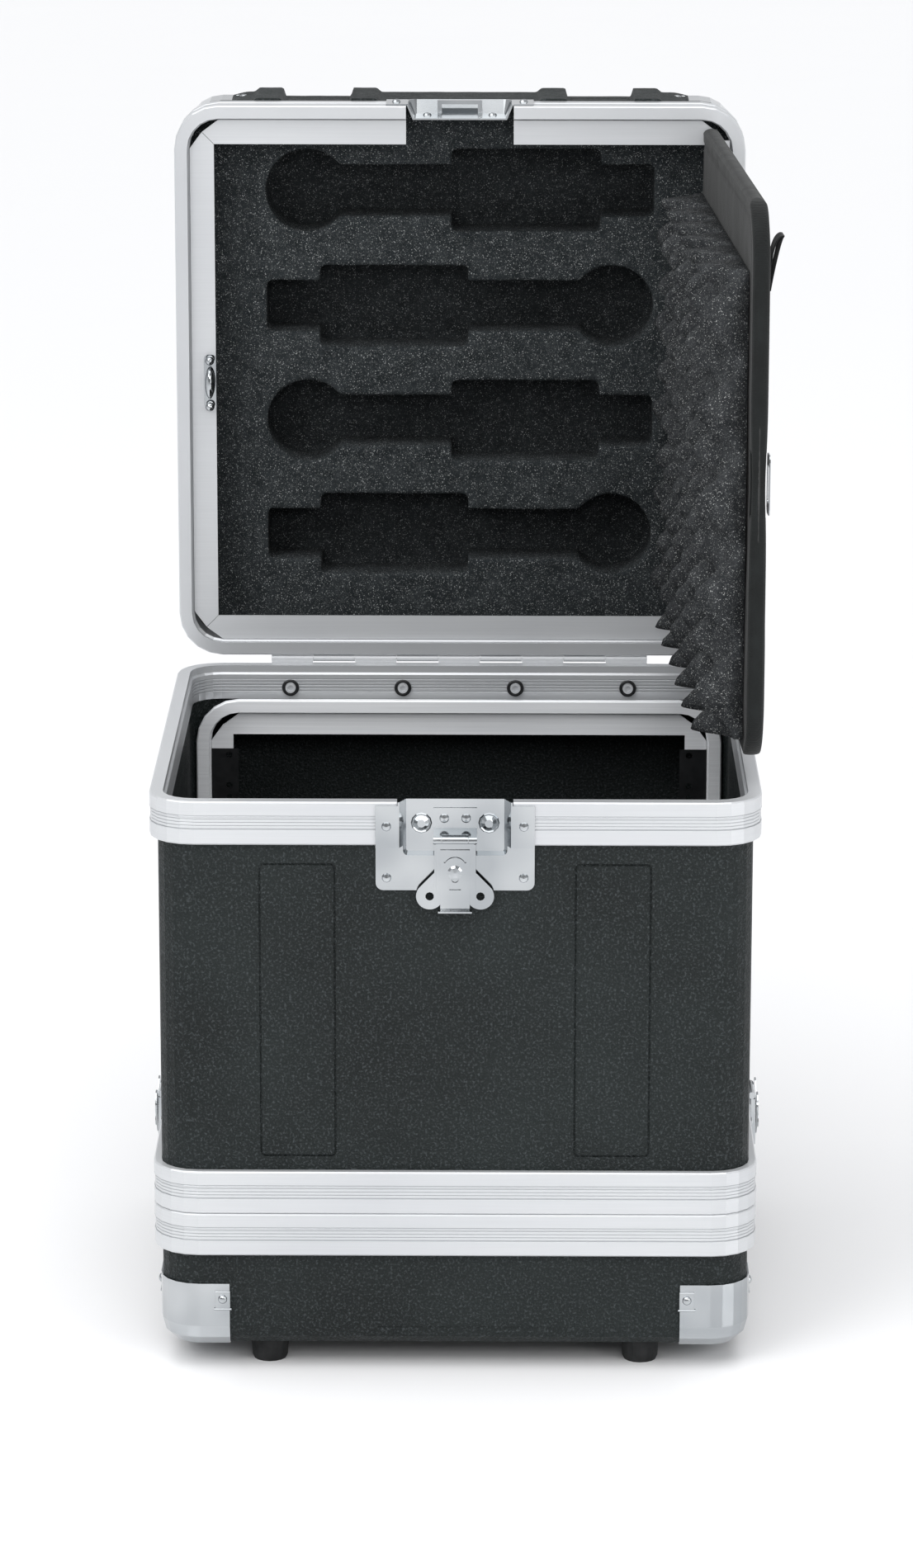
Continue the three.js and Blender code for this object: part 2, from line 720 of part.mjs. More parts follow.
function latchBracket() {
  const foot = latchDishDepth - fitGap;
  const face = foot - latchSheet;
  const bend = barrelZ + 2 * latchBarrelRadius;
  const sheet = foldedSheet([[foot, -latchBracketTop], [foot, bend - latchSheet],
    [barrelY, barrelZ - latchSheet], [barrelY, barrelZ + latchSheet], [face, bend],
    [face, -latchBracketTop]], latchBracketWidth);
  const barrel = crossRod(latchBarrelRadius, latchBracketWidth, 12).translate(0, barrelY, barrelZ);
  const room = armKnuckleWidth / 2 + fitGap;
  const reach = latchBarrelRadius + fitGap;
  const opening = block([-room, barrelY - reach, barrelZ - reach],
    [room, barrelY + 2 * reach, barrelZ + reach]);
  const pin = crossRod(latchPinRadius, latchBracketWidth - latchSheet, 8)
    .translate(0, barrelY, barrelZ);
  return combine(combine(sheet, [barrel], [opening]), [pin, ...bracketRivets()]);
}

function latchArm() {
  const half = latchArmWidth / 2;
  const end = barrelZ - latchArmLength;
  const plateTop = barrelZ - latchBarrelRadius - fitGap;
  const plate = block([-half, armFrontY, end], [half, armBackY, plateTop]);
  const neck = block([-armKnuckleWidth / 2, armFrontY, plateTop - latchSheet],
    [armKnuckleWidth / 2, armBackY, barrelZ]);
  const knuckle = crossRod(latchBarrelRadius, armKnuckleWidth, 12).translate(0, barrelY, barrelZ);
  const flanges = [-1, 1].map((side) => {
    const edges = [side * half, side * (half - latchSheet)];
    return block([Math.min(...edges), armFrontY - latchArmFlange, end],
      [Math.max(...edges), armFrontY + latchSheet / 2, plateTop]);
  });
  const pivot = faceViewer(rod(latchPinRadius * 2, wingBackY - hookFrontY + 2 * latchSheet, 12))
    .translate(0, wingBackY + latchSheet, wingPivotZ);
  const head = faceViewer(rivetHead(latchRivetRadius, latchRivetHeight))
    .translate(0, hookFrontY - latchLayerGap, wingPivotZ);
  const tail = faceViewer(rod(latchRivetRadius, latchSheet, 12))
    .translate(0, wingBackY + latchLayerGap + latchSheet, wingPivotZ);
  const bore = crossRod(latchPinRadius + fitGap, latchArmWidth, 8).translate(0, barrelY, barrelZ);
  return combine(plate, [neck, knuckle, ...flanges, pivot, head, tail], [bore]);
}

// The hook plate, its lip turned outwards; extend moves it away from the barrel
function latchHook(extend) {
  const half = latchHookWidth / 2;
  const lipHalf = latchHookLipWidth / 2;
  const lipZ = barrelZ - latchHookReach;
  const top = barrelZ - latchBarrelRadius - latchHookTravel;
  const plate = block([-half, hookFrontY, lipZ - latchSheet], [half, hookBackY, top]);
  const lip = block([-lipHalf, hookFrontY - latchLipDepth, lipZ - latchSheet],
    [lipHalf, hookBackY, lipZ]);
  const slotShape = new THREE.Shape();
  const slotRadius = latchPinRadius * 2 + fitGap;
  slotShape.absarc(0, latchHookTravel, slotRadius, 0, halfTurn);
  slotShape.absarc(0, -latchHookTravel, slotRadius, halfTurn, 2 * halfTurn);
  const crescent = new THREE.Shape();
  const crescentRadius = latchHookWidth * latchCrescentShare;
  crescent.absarc(0, 0, crescentRadius, halfTurn / 6, halfTurn * 5 / 6);
  crescent.absarc(0, 0, crescentRadius - latchSheet, halfTurn * 5 / 6, halfTurn / 6, true);
  const settings = { depth: 2 * latchLipDepth, bevelEnabled: false, curveSegments: 5 };
  const cut = (shape, z) => faceViewer(new THREE.ExtrudeGeometry(shape, settings))
    .translate(0, hookBackY + latchLipDepth, z);
  const windowHalf = latchHookWidth * latchWindowShare;
  const windowTop = wingPivotZ - latchHookWidth * latchWindowTopShare;
  const window = block([-windowHalf, hookFrontY - cutOverrun, wingPivotZ - latchHookWidth / 2],
    [windowHalf, hookBackY + cutOverrun, windowTop]);
  return combine(plate, [lip], [cut(slotShape, wingPivotZ),
    cut(crescent, wingPivotZ + latchHookWidth / 4), window]).translate(0, 0, -extend);
}

// The butterfly: a hub and two lobes with finger holes, hanging down and out from the pivot
function latchWing(tilt) {
  const thick = latchSheet;
  const lobes = [];
  const holes = [rod(latchPinRadius * 2 + fitGap, thick + 2 * cutOverrun, 12)
    .translate(0, 0, -cutOverrun)];
  for (const side of [-1, 1]) {
    const angle = -quarterTurn + side * quarterTurn / 2;
    const [x, y] = [latchWingReach * Math.cos(angle), latchWingReach * Math.sin(angle)];
    const outline = new THREE.Shape();
    const normal = angle + quarterTurn;
    outline.absarc(x, y, latchWingLobeRadius, normal - halfTurn, normal);
    outline.absarc(0, 0, latchWingHubRadius, normal, normal + halfTurn);
    const settings = { depth: thick, bevelEnabled: false, curveSegments: 9 };
    lobes.push(new THREE.ExtrudeGeometry(outline, settings));
    holes.push(rod(latchWingHoleRadius, thick + 2 * cutOverrun, 10).translate(x, y, -cutOverrun));
  }
  return faceViewer(combine(lobes[0], [lobes[1]], holes).rotateZ(tilt))
    .translate(0, wingBackY, wingPivotZ);
}

// The keeper above a mating plane: a dish with a raised bar that the hook lip drops behind
const keeperBarZ = latchHookReach - latchBarrelDrop - keeperBarSlack;

function keeperPlate() {
  const sheet = latchPlateThickness;
  const pan = dishPan(keeperDishHeight);
  const below = block([-latchPlateWidth, -2 * latchDishDepth, -2 * latchPlateHeight],
    [latchPlateWidth, 2 * latchDishDepth, fitGap]);
  const top = valanceHeight + fitGap;
  const lowFace = valanceOverhang - fitGap;
  const proud = block([-latchPlateWidth, -latchDishDepth, top + sheet],
    [latchPlateWidth, lowFace - sheet, 2 * latchPlateHeight]);
  const tabs = [-1, 1].map((side) => {
    const tabWidth = (latchPlateWidth - latchDishWidth) / 2;
    const reach = [side * (latchPlateWidth / 2 - tabWidth - sheet), side * latchPlateWidth / 2];
    return block([Math.min(...reach), -fitGap - sheet, latchTabMargin],
      [Math.max(...reach), -fitGap, top - latchTabMargin]);
  });
  const bar = keeperBar();
  return combine(combine(pan, [], [below, proud]), [...tabs, ...bar, ...keeperRivets()]);
}

function keeperBar() {
  const half = keeperWidth / 2;
  const foot = latchDishDepth + fitGap;
  const [low, high] = [keeperBarZ - keeperBarHeight, keeperBarZ];
  const bar = block([-half, -keeperOut, low], [half, -keeperOut + keeperBarHeight, high]);
  const legs = [-1, 1].map((side) => {
    const edges = [side * half, side * (half + keeperBarHeight)];
    return block([Math.min(...edges) - fitGap, -keeperOut, low], [Math.max(...edges), foot, high]);
  });
  return [bar, ...legs];
}

// Ball corners: a thin skin over the moulded corners of a tub that opens at z = 0
function ballCorners(floorDepth) {
  const size = [shellWidth, shellDepth, shellCornerRadius, shellRimDrop, floorDepth];
  const skin = combine(filledTub(...size, fitGap + cornerThickness), [], [filledTub(...size, fitGap)]);
  const reach = 2 * cutOverrun + cornerThickness;
  const corners = [];
  for (const signX of [-1, 1]) {
    for (const signY of [-1, 1]) {
      const x = [signX * (shellWidth / 2 - cornerSpan), signX * (shellWidth / 2 + reach)];
      const y = [signY * (shellDepth / 2 - cornerSpan), signY * (shellDepth / 2 + reach)];
      const low = [Math.min(...x), Math.min(...y), -floorDepth - reach];
      const high = [Math.max(...x), Math.max(...y), -floorDepth + cornerSpan];
      const corner = solidOf(skin).intersect(solidOf(block(low, high)));
      corners.push(geometryOf(corner));
    }
  }
  return corners;
}

// Closed lids are drawn about the rim that they meet; this one opens downwards from z = 0
function lidTub(floorDepth, dishes, grooves) {
  const tub = mouldedTub(shellWidth, shellDepth, shellCornerRadius, shellRimDrop, floorDepth);
  return combine(tub.rotateX(halfTurn), [], [...dishes, ...grooves]);
}

function lidPassage() {
  return dishPassage(-cutOverrun, keeperDishHeight + fitGap);
}

// Tray-shaped panel grooves on the low walls of a lid
function lidGrooves(floorDepth, walls) {
  const high = floorDepth - moldedEdgeRadius - lidPanelMargin - valanceHeight;
  return wallPanels(high, valanceHeight + lidPanelMargin / 2 + high / 2, walls);
}

// The microphone pocket, head at -X, in the XY plane, centred on its whole length
const pocketLength = micHeadRadius + micNeckLength + micGripLength + micTailLength;

function micPocket() {
  const head = -pocketLength / 2 + micHeadRadius;
  const neck = micNeckWidth / 2;
  const grip = micGripWidth / 2;
  const meet = Math.asin(neck / micHeadRadius);
  const gripStart = head + micNeckLength;
  const tailStart = gripStart + micGripLength;
  const outline = new THREE.Shape();
  outline.absarc(head, 0, micHeadRadius, meet, 2 * halfTurn - meet);
  outline.lineTo(gripStart, -neck);
  outline.lineTo(gripStart, -grip);
  outline.lineTo(tailStart, -grip);
  outline.lineTo(tailStart, -neck);
  outline.lineTo(pocketLength / 2, -neck);
  outline.lineTo(pocketLength / 2, neck);
  outline.lineTo(tailStart, neck);
  outline.lineTo(tailStart, grip);
  outline.lineTo(gripStart, grip);
  outline.lineTo(gripStart, neck);
  const settings = { depth: pocketDepth + cutOverrun, bevelEnabled: false, curveSegments: 18 };
  return new THREE.ExtrudeGeometry(outline, settings).translate(0, 0, -pocketDepth);
}

// Foam that fills the lid behind its recess, with a pocket for each microphone
function micFoam() {
  const margin = -wallThickness - fitGap;
  const block = filledTub(shellWidth, shellDepth, shellCornerRadius, foamRecess, topLidHeight, margin);
  const pockets = [];
  for (let index = 0; index < pocketCount; index += 1) {
    const pocket = index % 2 === 0 ? micPocket() : micPocket().rotateZ(halfTurn);
    const y = pocketShift + ((pocketCount - 1) / 2 - index) * pocketPitch;
    pockets.push(pocket.translate(0, y, -foamRecess));
  }
  return combine(block, [], pockets).rotateX(halfTurn);
}

// The open lid hangs from its pin: everything is drawn closed, then turned about the pin
function topLid() {
  const lid = new THREE.Group();
  const matingZ = rimZ + fitGap;
  const closed = (geometry) => geometry.translate(0, -hingePinY, matingZ - hingePinZ);
  const add = (name, geometry, finish) => addPiece(lid, name, closed(geometry), finish);
  const frontOf = (geometry) => geometry.translate(0, frontY, 0);
  const dish = () => frontOf(lidPassage());
  add("lid_shell", lidTub(topLidHeight, [dish()],
    lidGrooves(topLidHeight, ["front", "left", "right", "back"])), "shell");
  const ring = valance(caseWidth, caseDepth).rotateX(halfTurn);
  add("lid_valance", combine(ring, [], [dish()]), "aluminium");
  add("mic_foam", micFoam(), "foam");
  ballCorners(topLidHeight).forEach((corner, index) =>
    add(`lid_corner_${index + 1}`, corner.rotateX(halfTurn), "chrome"));
  add("lid_keeper", frontOf(keeperPlate()), "chrome");

  const face = (geometry) => geometry.rotateX(halfTurn).translate(0, 0, stripRecess);
  const gap = latchDishWidth / 2 + fitGap;
  const strip = (left, right) => trimStrip(caseWidth, caseDepth, stripWidth, left, right);
  const sideStrip = () => trimStrip(caseDepth, caseWidth, stripWidth);
  add("lid_trim_lower", face(strip(null, null)), "aluminium");
  add("lid_trim_top_left", face(strip(gap, null).rotateZ(halfTurn)), "aluminium");
  add("lid_trim_top_right", face(strip(null, -gap).rotateZ(halfTurn)), "aluminium");
  add("lid_trim_left", face(sideStrip().rotateZ(-quarterTurn)), "aluminium");
  add("lid_trim_right", face(sideStrip().rotateZ(quarterTurn)), "aluminium");
  lid.position.set(0, hingePinY, hingePinZ);
  lid.rotation.x = -quarterTurn;

  const leaf = hingeHalf(1).rotateX(halfTurn).rotateZ(halfTurn);
  addPiece(lid, "hinge_leaf_lid", leaf, "aluminium");
  return lid;
}

// Rivets and stamped studs of a latch plate, sunk into it by a hair so that they are one piece
function plateRivets() {
  const tabX = (latchPlateWidth + latchDishWidth) / 4;
  const lowZ = -latchPlateHeight + rivetRadius + latchPlateRadius;
  const heads = [];
  for (const side of [-1, 1]) {
    heads.push(faceViewer(rivetHead())
      .translate(side * tabX, -latchPlateThickness, -latchStudDrop));
    heads.push(faceViewer(rivetHead())
      .translate(side * tabX, valanceOverhang - latchPlateThickness, lowZ));
    heads.push(faceViewer(ringStud()).translate(side * latchStudSpacing / 2,
      latchDishDepth + fitGap, -latchStudDrop));
  }
  return heads;
}

function bracketRivets() {
  return [-1, 1].map((side) => faceViewer(rivetHead()).translate(side * latchBracketWidth / 4,
    latchDishDepth - latchSheet, -latchBracketTop - 2 * rivetRadius));
}

function ringStud() {
  const valley = latchStudDomeRadius;
  const profile = [[0, 0], [latchStudRadius, 0], [(latchStudRadius + valley) / 2, latchStudHeight / 2],
    [valley, latchStudHeight / 4], [valley / 2, latchStudHeight], [0, latchStudHeight]];
  return new THREE.LatheGeometry(profile.map(([x, y]) => new THREE.Vector2(x, y)), 12)
    .rotateX(quarterTurn);
}

function keeperRivets() {
  const tabX = (latchPlateWidth + latchDishWidth) / 4;
  const tabY = -latchPlateThickness;
  const floorY = latchDishDepth + fitGap;
  const middle = latchTabMargin + (valanceHeight - latchTabMargin) / 2;
  return [-1, 1].flatMap((side) => [
    faceViewer(rivetHead()).translate(side * tabX, tabY, middle),
    faceViewer(rivetHead()).translate(side * (keeperWidth / 2 + 3 * rivetRadius), floorY,
      keeperBarZ - keeperBarHeight / 2),
  ]);
}

// Swings latch pieces that hang from the barrel up to their closed place
function closeTurn(geometry) {
  return geometry.translate(0, -barrelY, -barrelZ).rotateX(halfTurn).translate(0, barrelY, barrelZ);
}

// The front latch hangs open
function frontLatch(group) {
  const place = (geometry) => geometry.translate(0, frontY, rimZ);
  addPiece(group, "front_latch_plate", place(latchPlate()), "chrome");
  addPiece(group, "front_latch_bracket", place(latchBracket()), "chrome");
  addPiece(group, "front_latch_arm", place(latchArm()), "chrome");
  addPiece(group, "front_latch_hook", place(latchHook(latchHookTravel)), "chrome");
  addPiece(group, "front_latch_wing", place(latchWing(0)), "chrome");
}

// A side latch holds the bottom lid, so its base is above the seam and its arm is closed
function sideLatch(group, name, side) {
  const upsideDown = (geometry) => geometry.rotateY(halfTurn);
  const place = (geometry) => sideways(upsideDown(geometry), side).translate(0, 0, seamZ + fitGap);
  addPiece(group, `${name}_latch_plate`, place(latchPlate()), "chrome");
  addPiece(group, `${name}_latch_bracket`, place(latchBracket()), "chrome");
  addPiece(group, `${name}_latch_arm`, place(closeTurn(latchArm())), "chrome");
  addPiece(group, `${name}_latch_hook`, place(closeTurn(latchHook(0))), "chrome");
  addPiece(group, `${name}_latch_wing`, place(closeTurn(latchWing(halfTurn))), "chrome");
  addPiece(group, `${name}_keeper`, place(keeperPlate()).translate(0, 0, -fitGap), "chrome");
}

// The shallow step at the middle of a bottom lid wall, where it meets the floor
function bottomStep() {
  const half = (caseWidth - 2 * cornerSpan) / 6;
  return block([-half, -shellDepth / 2 - cutOverrun, -bottomLidHeight - cutOverrun],
    [half, -shellDepth / 2 + panelGrooveDepth, -bottomLidHeight + moldedEdgeRadius]);
}

function bottomLid(group) {
  const place = (geometry) => geometry.translate(0, 0, seamZ);
  const dishes = [-1, 1].map((side) => sideways(lidPassage().rotateY(halfTurn), side));
  const tub = mouldedTub(shellWidth, shellDepth, shellCornerRadius, shellRimDrop, bottomLidHeight);
  addPiece(group, "bottom_lid_shell", place(combine(tub, [], [...dishes, bottomStep()])), "shell");
  const [front, back] = valanceLengths(valance(caseWidth, caseDepth), dishes);
  addPiece(group, "bottom_lid_valance_front", place(front), "aluminium");
  addPiece(group, "bottom_lid_valance_back", place(back), "aluminium");
  ballCorners(bottomLidHeight).forEach((corner, index) =>
    addPiece(group, `bottom_lid_corner_${index + 1}`, place(corner), "chrome"));
  rubberFeet().forEach((foot, index) =>
    addPiece(group, `rubber_foot_${index + 1}`, foot, "rubber"));
}

function rubberFeet() {
  const height = footHeight - fitGap;
  const profile = [[0, 0], [footRadius * footSoleShare, 0],
    [footRadius * footRimShare, height * footRimHeightShare],
    [footRadius, height], [0, height]].map(([x, y]) => new THREE.Vector2(x, y));
  const foot = new THREE.LatheGeometry(profile, roundSides).rotateX(quarterTurn);
  const reachX = shellWidth / 2 - cornerSpan - footCornerGap - footRadius;
  const reachY = caseDepth / 2 - footInset;
  return [[-1, -1], [1, -1], [1, 1], [-1, 1]].map(([signX, signY]) =>
    foot.clone().translate(signX * reachX, signY * reachY, 0));
}

// Convoluted foam: rows and columns of rounded peaks over a backing, peaks facing -X
function convolutedFoam() {
  const columns = crateColumns * crateSteps;
  const rows = crateRows * crateSteps;
  const heightAt = (column, row) => {
    const wave = Math.cos(column / crateSteps * 2 * Math.PI) * Math.cos(row / crateSteps * 2 * Math.PI);
    return crateBacking + cratePeak * (0.5 - 0.5 * wave);
  };
  const positions = [];
  for (let row = 0; row <= rows; row += 1) {
    for (let column = 0; column <= columns; column += 1) {
      const [y, z] = [-column * crateWidth / columns, row * crateHeight / rows];
      positions.push(0, y, z, -heightAt(column, row), y, z);
    }
  }
  const at = (row, column, top) => 2 * (row * (columns + 1) + column) + top;
  const indices = [];
  const quad = (a, b, c, d) => indices.push(a, c, b, a, d, c);
  for (let row = 0; row < rows; row += 1) {
    for (let column = 0; column < columns; column += 1) {
      quad(at(row, column, 0), at(row, column + 1, 0), at(row + 1, column + 1, 0), at(row + 1, column, 0));
      quad(at(row, column, 1), at(row + 1, column, 1), at(row + 1, column + 1, 1), at(row, column + 1, 1));
    }
  }
  for (let row = 0; row < rows; row += 1) {
    quad(at(row, 0, 0), at(row + 1, 0, 0), at(row + 1, 0, 1), at(row, 0, 1));
    quad(at(row, columns, 0), at(row, columns, 1), at(row + 1, columns, 1), at(row + 1, columns, 0));
  }
  for (let column = 0; column < columns; column += 1) {
    quad(at(0, column, 0), at(0, column, 1), at(0, column + 1, 1), at(0, column + 1, 0));
    quad(at(rows, column, 0), at(rows, column + 1, 0), at(rows, column + 1, 1), at(rows, column, 1));
  }
  const geometry = new THREE.BufferGeometry();
  geometry.setAttribute("position", new THREE.Float32BufferAttribute(positions, 3));
  geometry.setIndex(indices);
  geometry.computeVertexNormals();
  return geometry;
}

// Where the flap turns, and where the turn button stands on the lid's left strip
const lidLowZ = hingePinZ + hingePinOut;
const lidMiddleZ = lidLowZ + caseDepth / 2;
const lidMatingY = hingePinY - (hingePinZ - rimZ - fitGap);
const flapHingeX = sideX - flapHingeInset;
const flapHingeY = lidMatingY + stripRecess - flapClearance - flapThickness / 2;
const flapLowZ = lidLowZ + flapLowerMargin;
const buttonX = -sideX + buttonInset;
const buttonReach = flapHingeX - buttonX;
const flapWidth = buttonReach + flapBeyondButton;
const flapHeight = caseDepth - flapLowerMargin - flapUpperMargin;
const crateWidth = flapWidth - crateRootMargin - crateFreeMargin;
const crateHeight = flapHeight - crateLowerMargin - crateUpperMargin;

// The flap is drawn straight out towards the viewer from its hinge, then leant to its rest angle
function flap() {
  const group = new THREE.Group();
  const slotHeight = buttonTurnLength + 2 * eyeletSlack;
  const slotWidth = buttonTurnWidth + 2 * eyeletSlack;
  const slotZ = lidMiddleZ - flapLowZ;
  const outline = new THREE.Shape();
  outline.moveTo(0, 0);
  outline.lineTo(flapWidth - flapCornerRadius, 0);
  outline.absarc(flapWidth - flapCornerRadius, flapCornerRadius, flapCornerRadius, -quarterTurn, 0);
  outline.absarc(flapWidth - flapCornerRadius, flapHeight - flapCornerRadius, flapCornerRadius,
    0, quarterTurn);
  outline.lineTo(0, flapHeight);
  const settings = { depth: flapThickness, bevelEnabled: false, curveSegments: 5 };
  const upright = (geometry) => geometry.rotateX(quarterTurn).rotateZ(-quarterTurn);
  const panel = upright(new THREE.ExtrudeGeometry(outline, settings))
    .translate(flapThickness / 2, -fitGap, 0);
  const slot = block([-flapThickness, -buttonReach - slotWidth / 2, slotZ - slotHeight / 2],
    [flapThickness, -buttonReach + slotWidth / 2, slotZ + slotHeight / 2]);
  addPiece(group, "flap_panel", combine(panel, [], [slot]), "fabric");
  addPiece(group, "flap_foam", convolutedFoam()
    .translate(-flapThickness / 2 - fitGap, -crateRootMargin, crateLowerMargin), "crate");

  const eyelet = roundedPlate(eyeletWidth, eyeletLength, eyeletWidth / 4, eyeletThickness,
    [roundedOutline(new THREE.Path(), slotWidth, slotHeight, eyeletSlack)]);
  addPiece(group, "flap_eyelet", eyelet.rotateX(quarterTurn).rotateZ(quarterTurn)
    .translate(flapThickness / 2 + fitGap, -buttonReach, slotZ), "chrome");
  const tab = roundedPlate(pullTabLength, pullTabWidth, pullTabWidth * pullTabRoundShare, pullTabThickness);
  addPiece(group, "flap_pull_tab", tab.rotateX(quarterTurn).rotateZ(quarterTurn)
    .translate(flapThickness / 2 + fitGap, pullTabInset - flapWidth, flapHeight - pullTabDrop), "fabric");
  group.position.set(flapHingeX, flapHingeY, flapLowZ);
  group.rotation.z = THREE.MathUtils.degToRad(flapOpenDegrees - 90);
  return group;
}

// The flat bar that holds the flap's root to the lid's right strip
function flapHingeStrip() {
  const lowX = flapHingeX + flapThickness / 2 + fitGap;
  const backFace = lidMatingY + stripRecess - fitGap;
  return block([lowX, flapHingeY, flapLowZ + flapHingeStripMargin],
    [lowX + flapHingeStripWidth, backFace, flapLowZ + flapHeight - flapHingeStripMargin]);
}

// The turn button: a riveted base plate with a post, and the piece that turns on it
function turnButton(group) {
  const faceY = lidMatingY + stripRecess - fitGap;
  const place = (geometry, out) => faceViewer(geometry).translate(buttonX, faceY - out, lidMiddleZ);
  const plate = roundedPlate(buttonPlateWidth, buttonPlateLength, buttonPlateWidth / 3,
    buttonPlateThickness);
  const heads = [-1, 1].map((side) => rivetHead(rivetRadius, buttonRivetHeight)
    .translate(0, side * (buttonPlateLength / 2 - rivetRadius), buttonPlateThickness / 2));
  const post = rod(buttonPostRadius, buttonPostHeight, 12);
  addPiece(group, "turn_button_base", place(combine(plate, [post, ...heads]), 0), "chrome");
  const turn = roundedPlate(buttonTurnWidth, buttonTurnLength, buttonTurnWidth * buttonRoundShare,
    buttonTurnHeight);
  addPiece(group, "turn_button", place(turn, buttonPostHeight + fitGap), "chrome");
}

function build() {
  const body = new THREE.Group();
  addPiece(body, "body_shell", bodyShell(), "shell");
  addPiece(body, "body_valance_top", bodyTopValance(), "aluminium");
  const [bottomFront, bottomBack] = bodyBottomValance();
  addPiece(body, "body_valance_bottom_front", bottomFront, "aluminium");
  addPiece(body, "body_valance_bottom_back", bottomBack, "aluminium");
  const leaf = hingeHalf(0).translate(0, hingePinY, hingePinZ);
  addPiece(body, "hinge_leaf_body", combine(leaf, hingeBolts()), "aluminium");
  rackBay(body);

  frontLatch(body);
  sideLatch(body, "left", -1);
  sideLatch(body, "right", 1);
  bottomLid(body);
  turnButton(body);
  addPiece(body, "flap_hinge_strip", flapHingeStrip(), "aluminium");
  assembly.add(body, topLid(), flap());
}

build();
assembly.updateMatrixWorld(true);
const bounds = new THREE.Box3().setFromObject(assembly, true);
const middle = bounds.getCenter(new THREE.Vector3());
assembly.position.set(-middle.x, -middle.y, -bounds.min.z);

export default assembly;
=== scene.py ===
import math

import bmesh
import bpy
from mathutils import Matrix, Vector, noise
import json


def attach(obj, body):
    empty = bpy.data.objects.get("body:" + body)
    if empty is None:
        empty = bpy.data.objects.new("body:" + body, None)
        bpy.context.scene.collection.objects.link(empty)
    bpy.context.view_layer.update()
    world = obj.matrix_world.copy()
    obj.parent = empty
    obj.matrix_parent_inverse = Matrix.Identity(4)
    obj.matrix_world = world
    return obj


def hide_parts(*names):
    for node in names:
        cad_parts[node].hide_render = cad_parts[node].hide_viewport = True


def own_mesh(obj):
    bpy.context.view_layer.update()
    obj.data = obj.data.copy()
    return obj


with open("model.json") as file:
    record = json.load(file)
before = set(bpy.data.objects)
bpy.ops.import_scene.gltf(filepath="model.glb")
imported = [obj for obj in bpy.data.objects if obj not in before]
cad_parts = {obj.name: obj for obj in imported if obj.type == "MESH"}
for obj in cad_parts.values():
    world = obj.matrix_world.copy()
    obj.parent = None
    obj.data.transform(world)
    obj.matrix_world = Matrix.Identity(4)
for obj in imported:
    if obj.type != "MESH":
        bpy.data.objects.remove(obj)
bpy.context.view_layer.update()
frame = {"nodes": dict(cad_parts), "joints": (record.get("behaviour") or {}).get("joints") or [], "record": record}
nodes = frame["nodes"]
joint_places = {joint["name"]: joint["pos_m"] for joint in frame["joints"] if "pos_m" in joint}


def box(name):
    """The lowest and the highest corner of a CAD piece's box."""
    piece = nodes[name]
    points = [piece.matrix_world @ vertex.co for vertex in piece.data.vertices]
    low = Vector([min(point[axis] for point in points) for axis in range(3)])
    high = Vector([max(point[axis] for point in points) for axis in range(3)])
    return low, high


def middle(name):
    """The middle of a CAD piece's box."""
    low, high = box(name)
    return (low + high) / 2


# Colours are given as the eye sees them, 0 to 255, and turned into linear light
def linear(red, green, blue):
    def channel(value):
        value /= 255
        return value / 12.92 if value <= 0.04045 else ((value + 0.055) / 1.055) ** 2.4
    return (channel(red), channel(green), channel(blue), 1.0)


def map_range(tree, value, between, gives):
    """Stretches one span of values over another."""
    made = tree.nodes.new("ShaderNodeMapRange")
    for socket, number in zip(("From Min", "From Max", "To Min", "To Max"), (*between, *gives)):
        made.inputs[socket].default_value = number
    tree.links.new(value, made.inputs["Value"])
    return made.outputs["Result"]


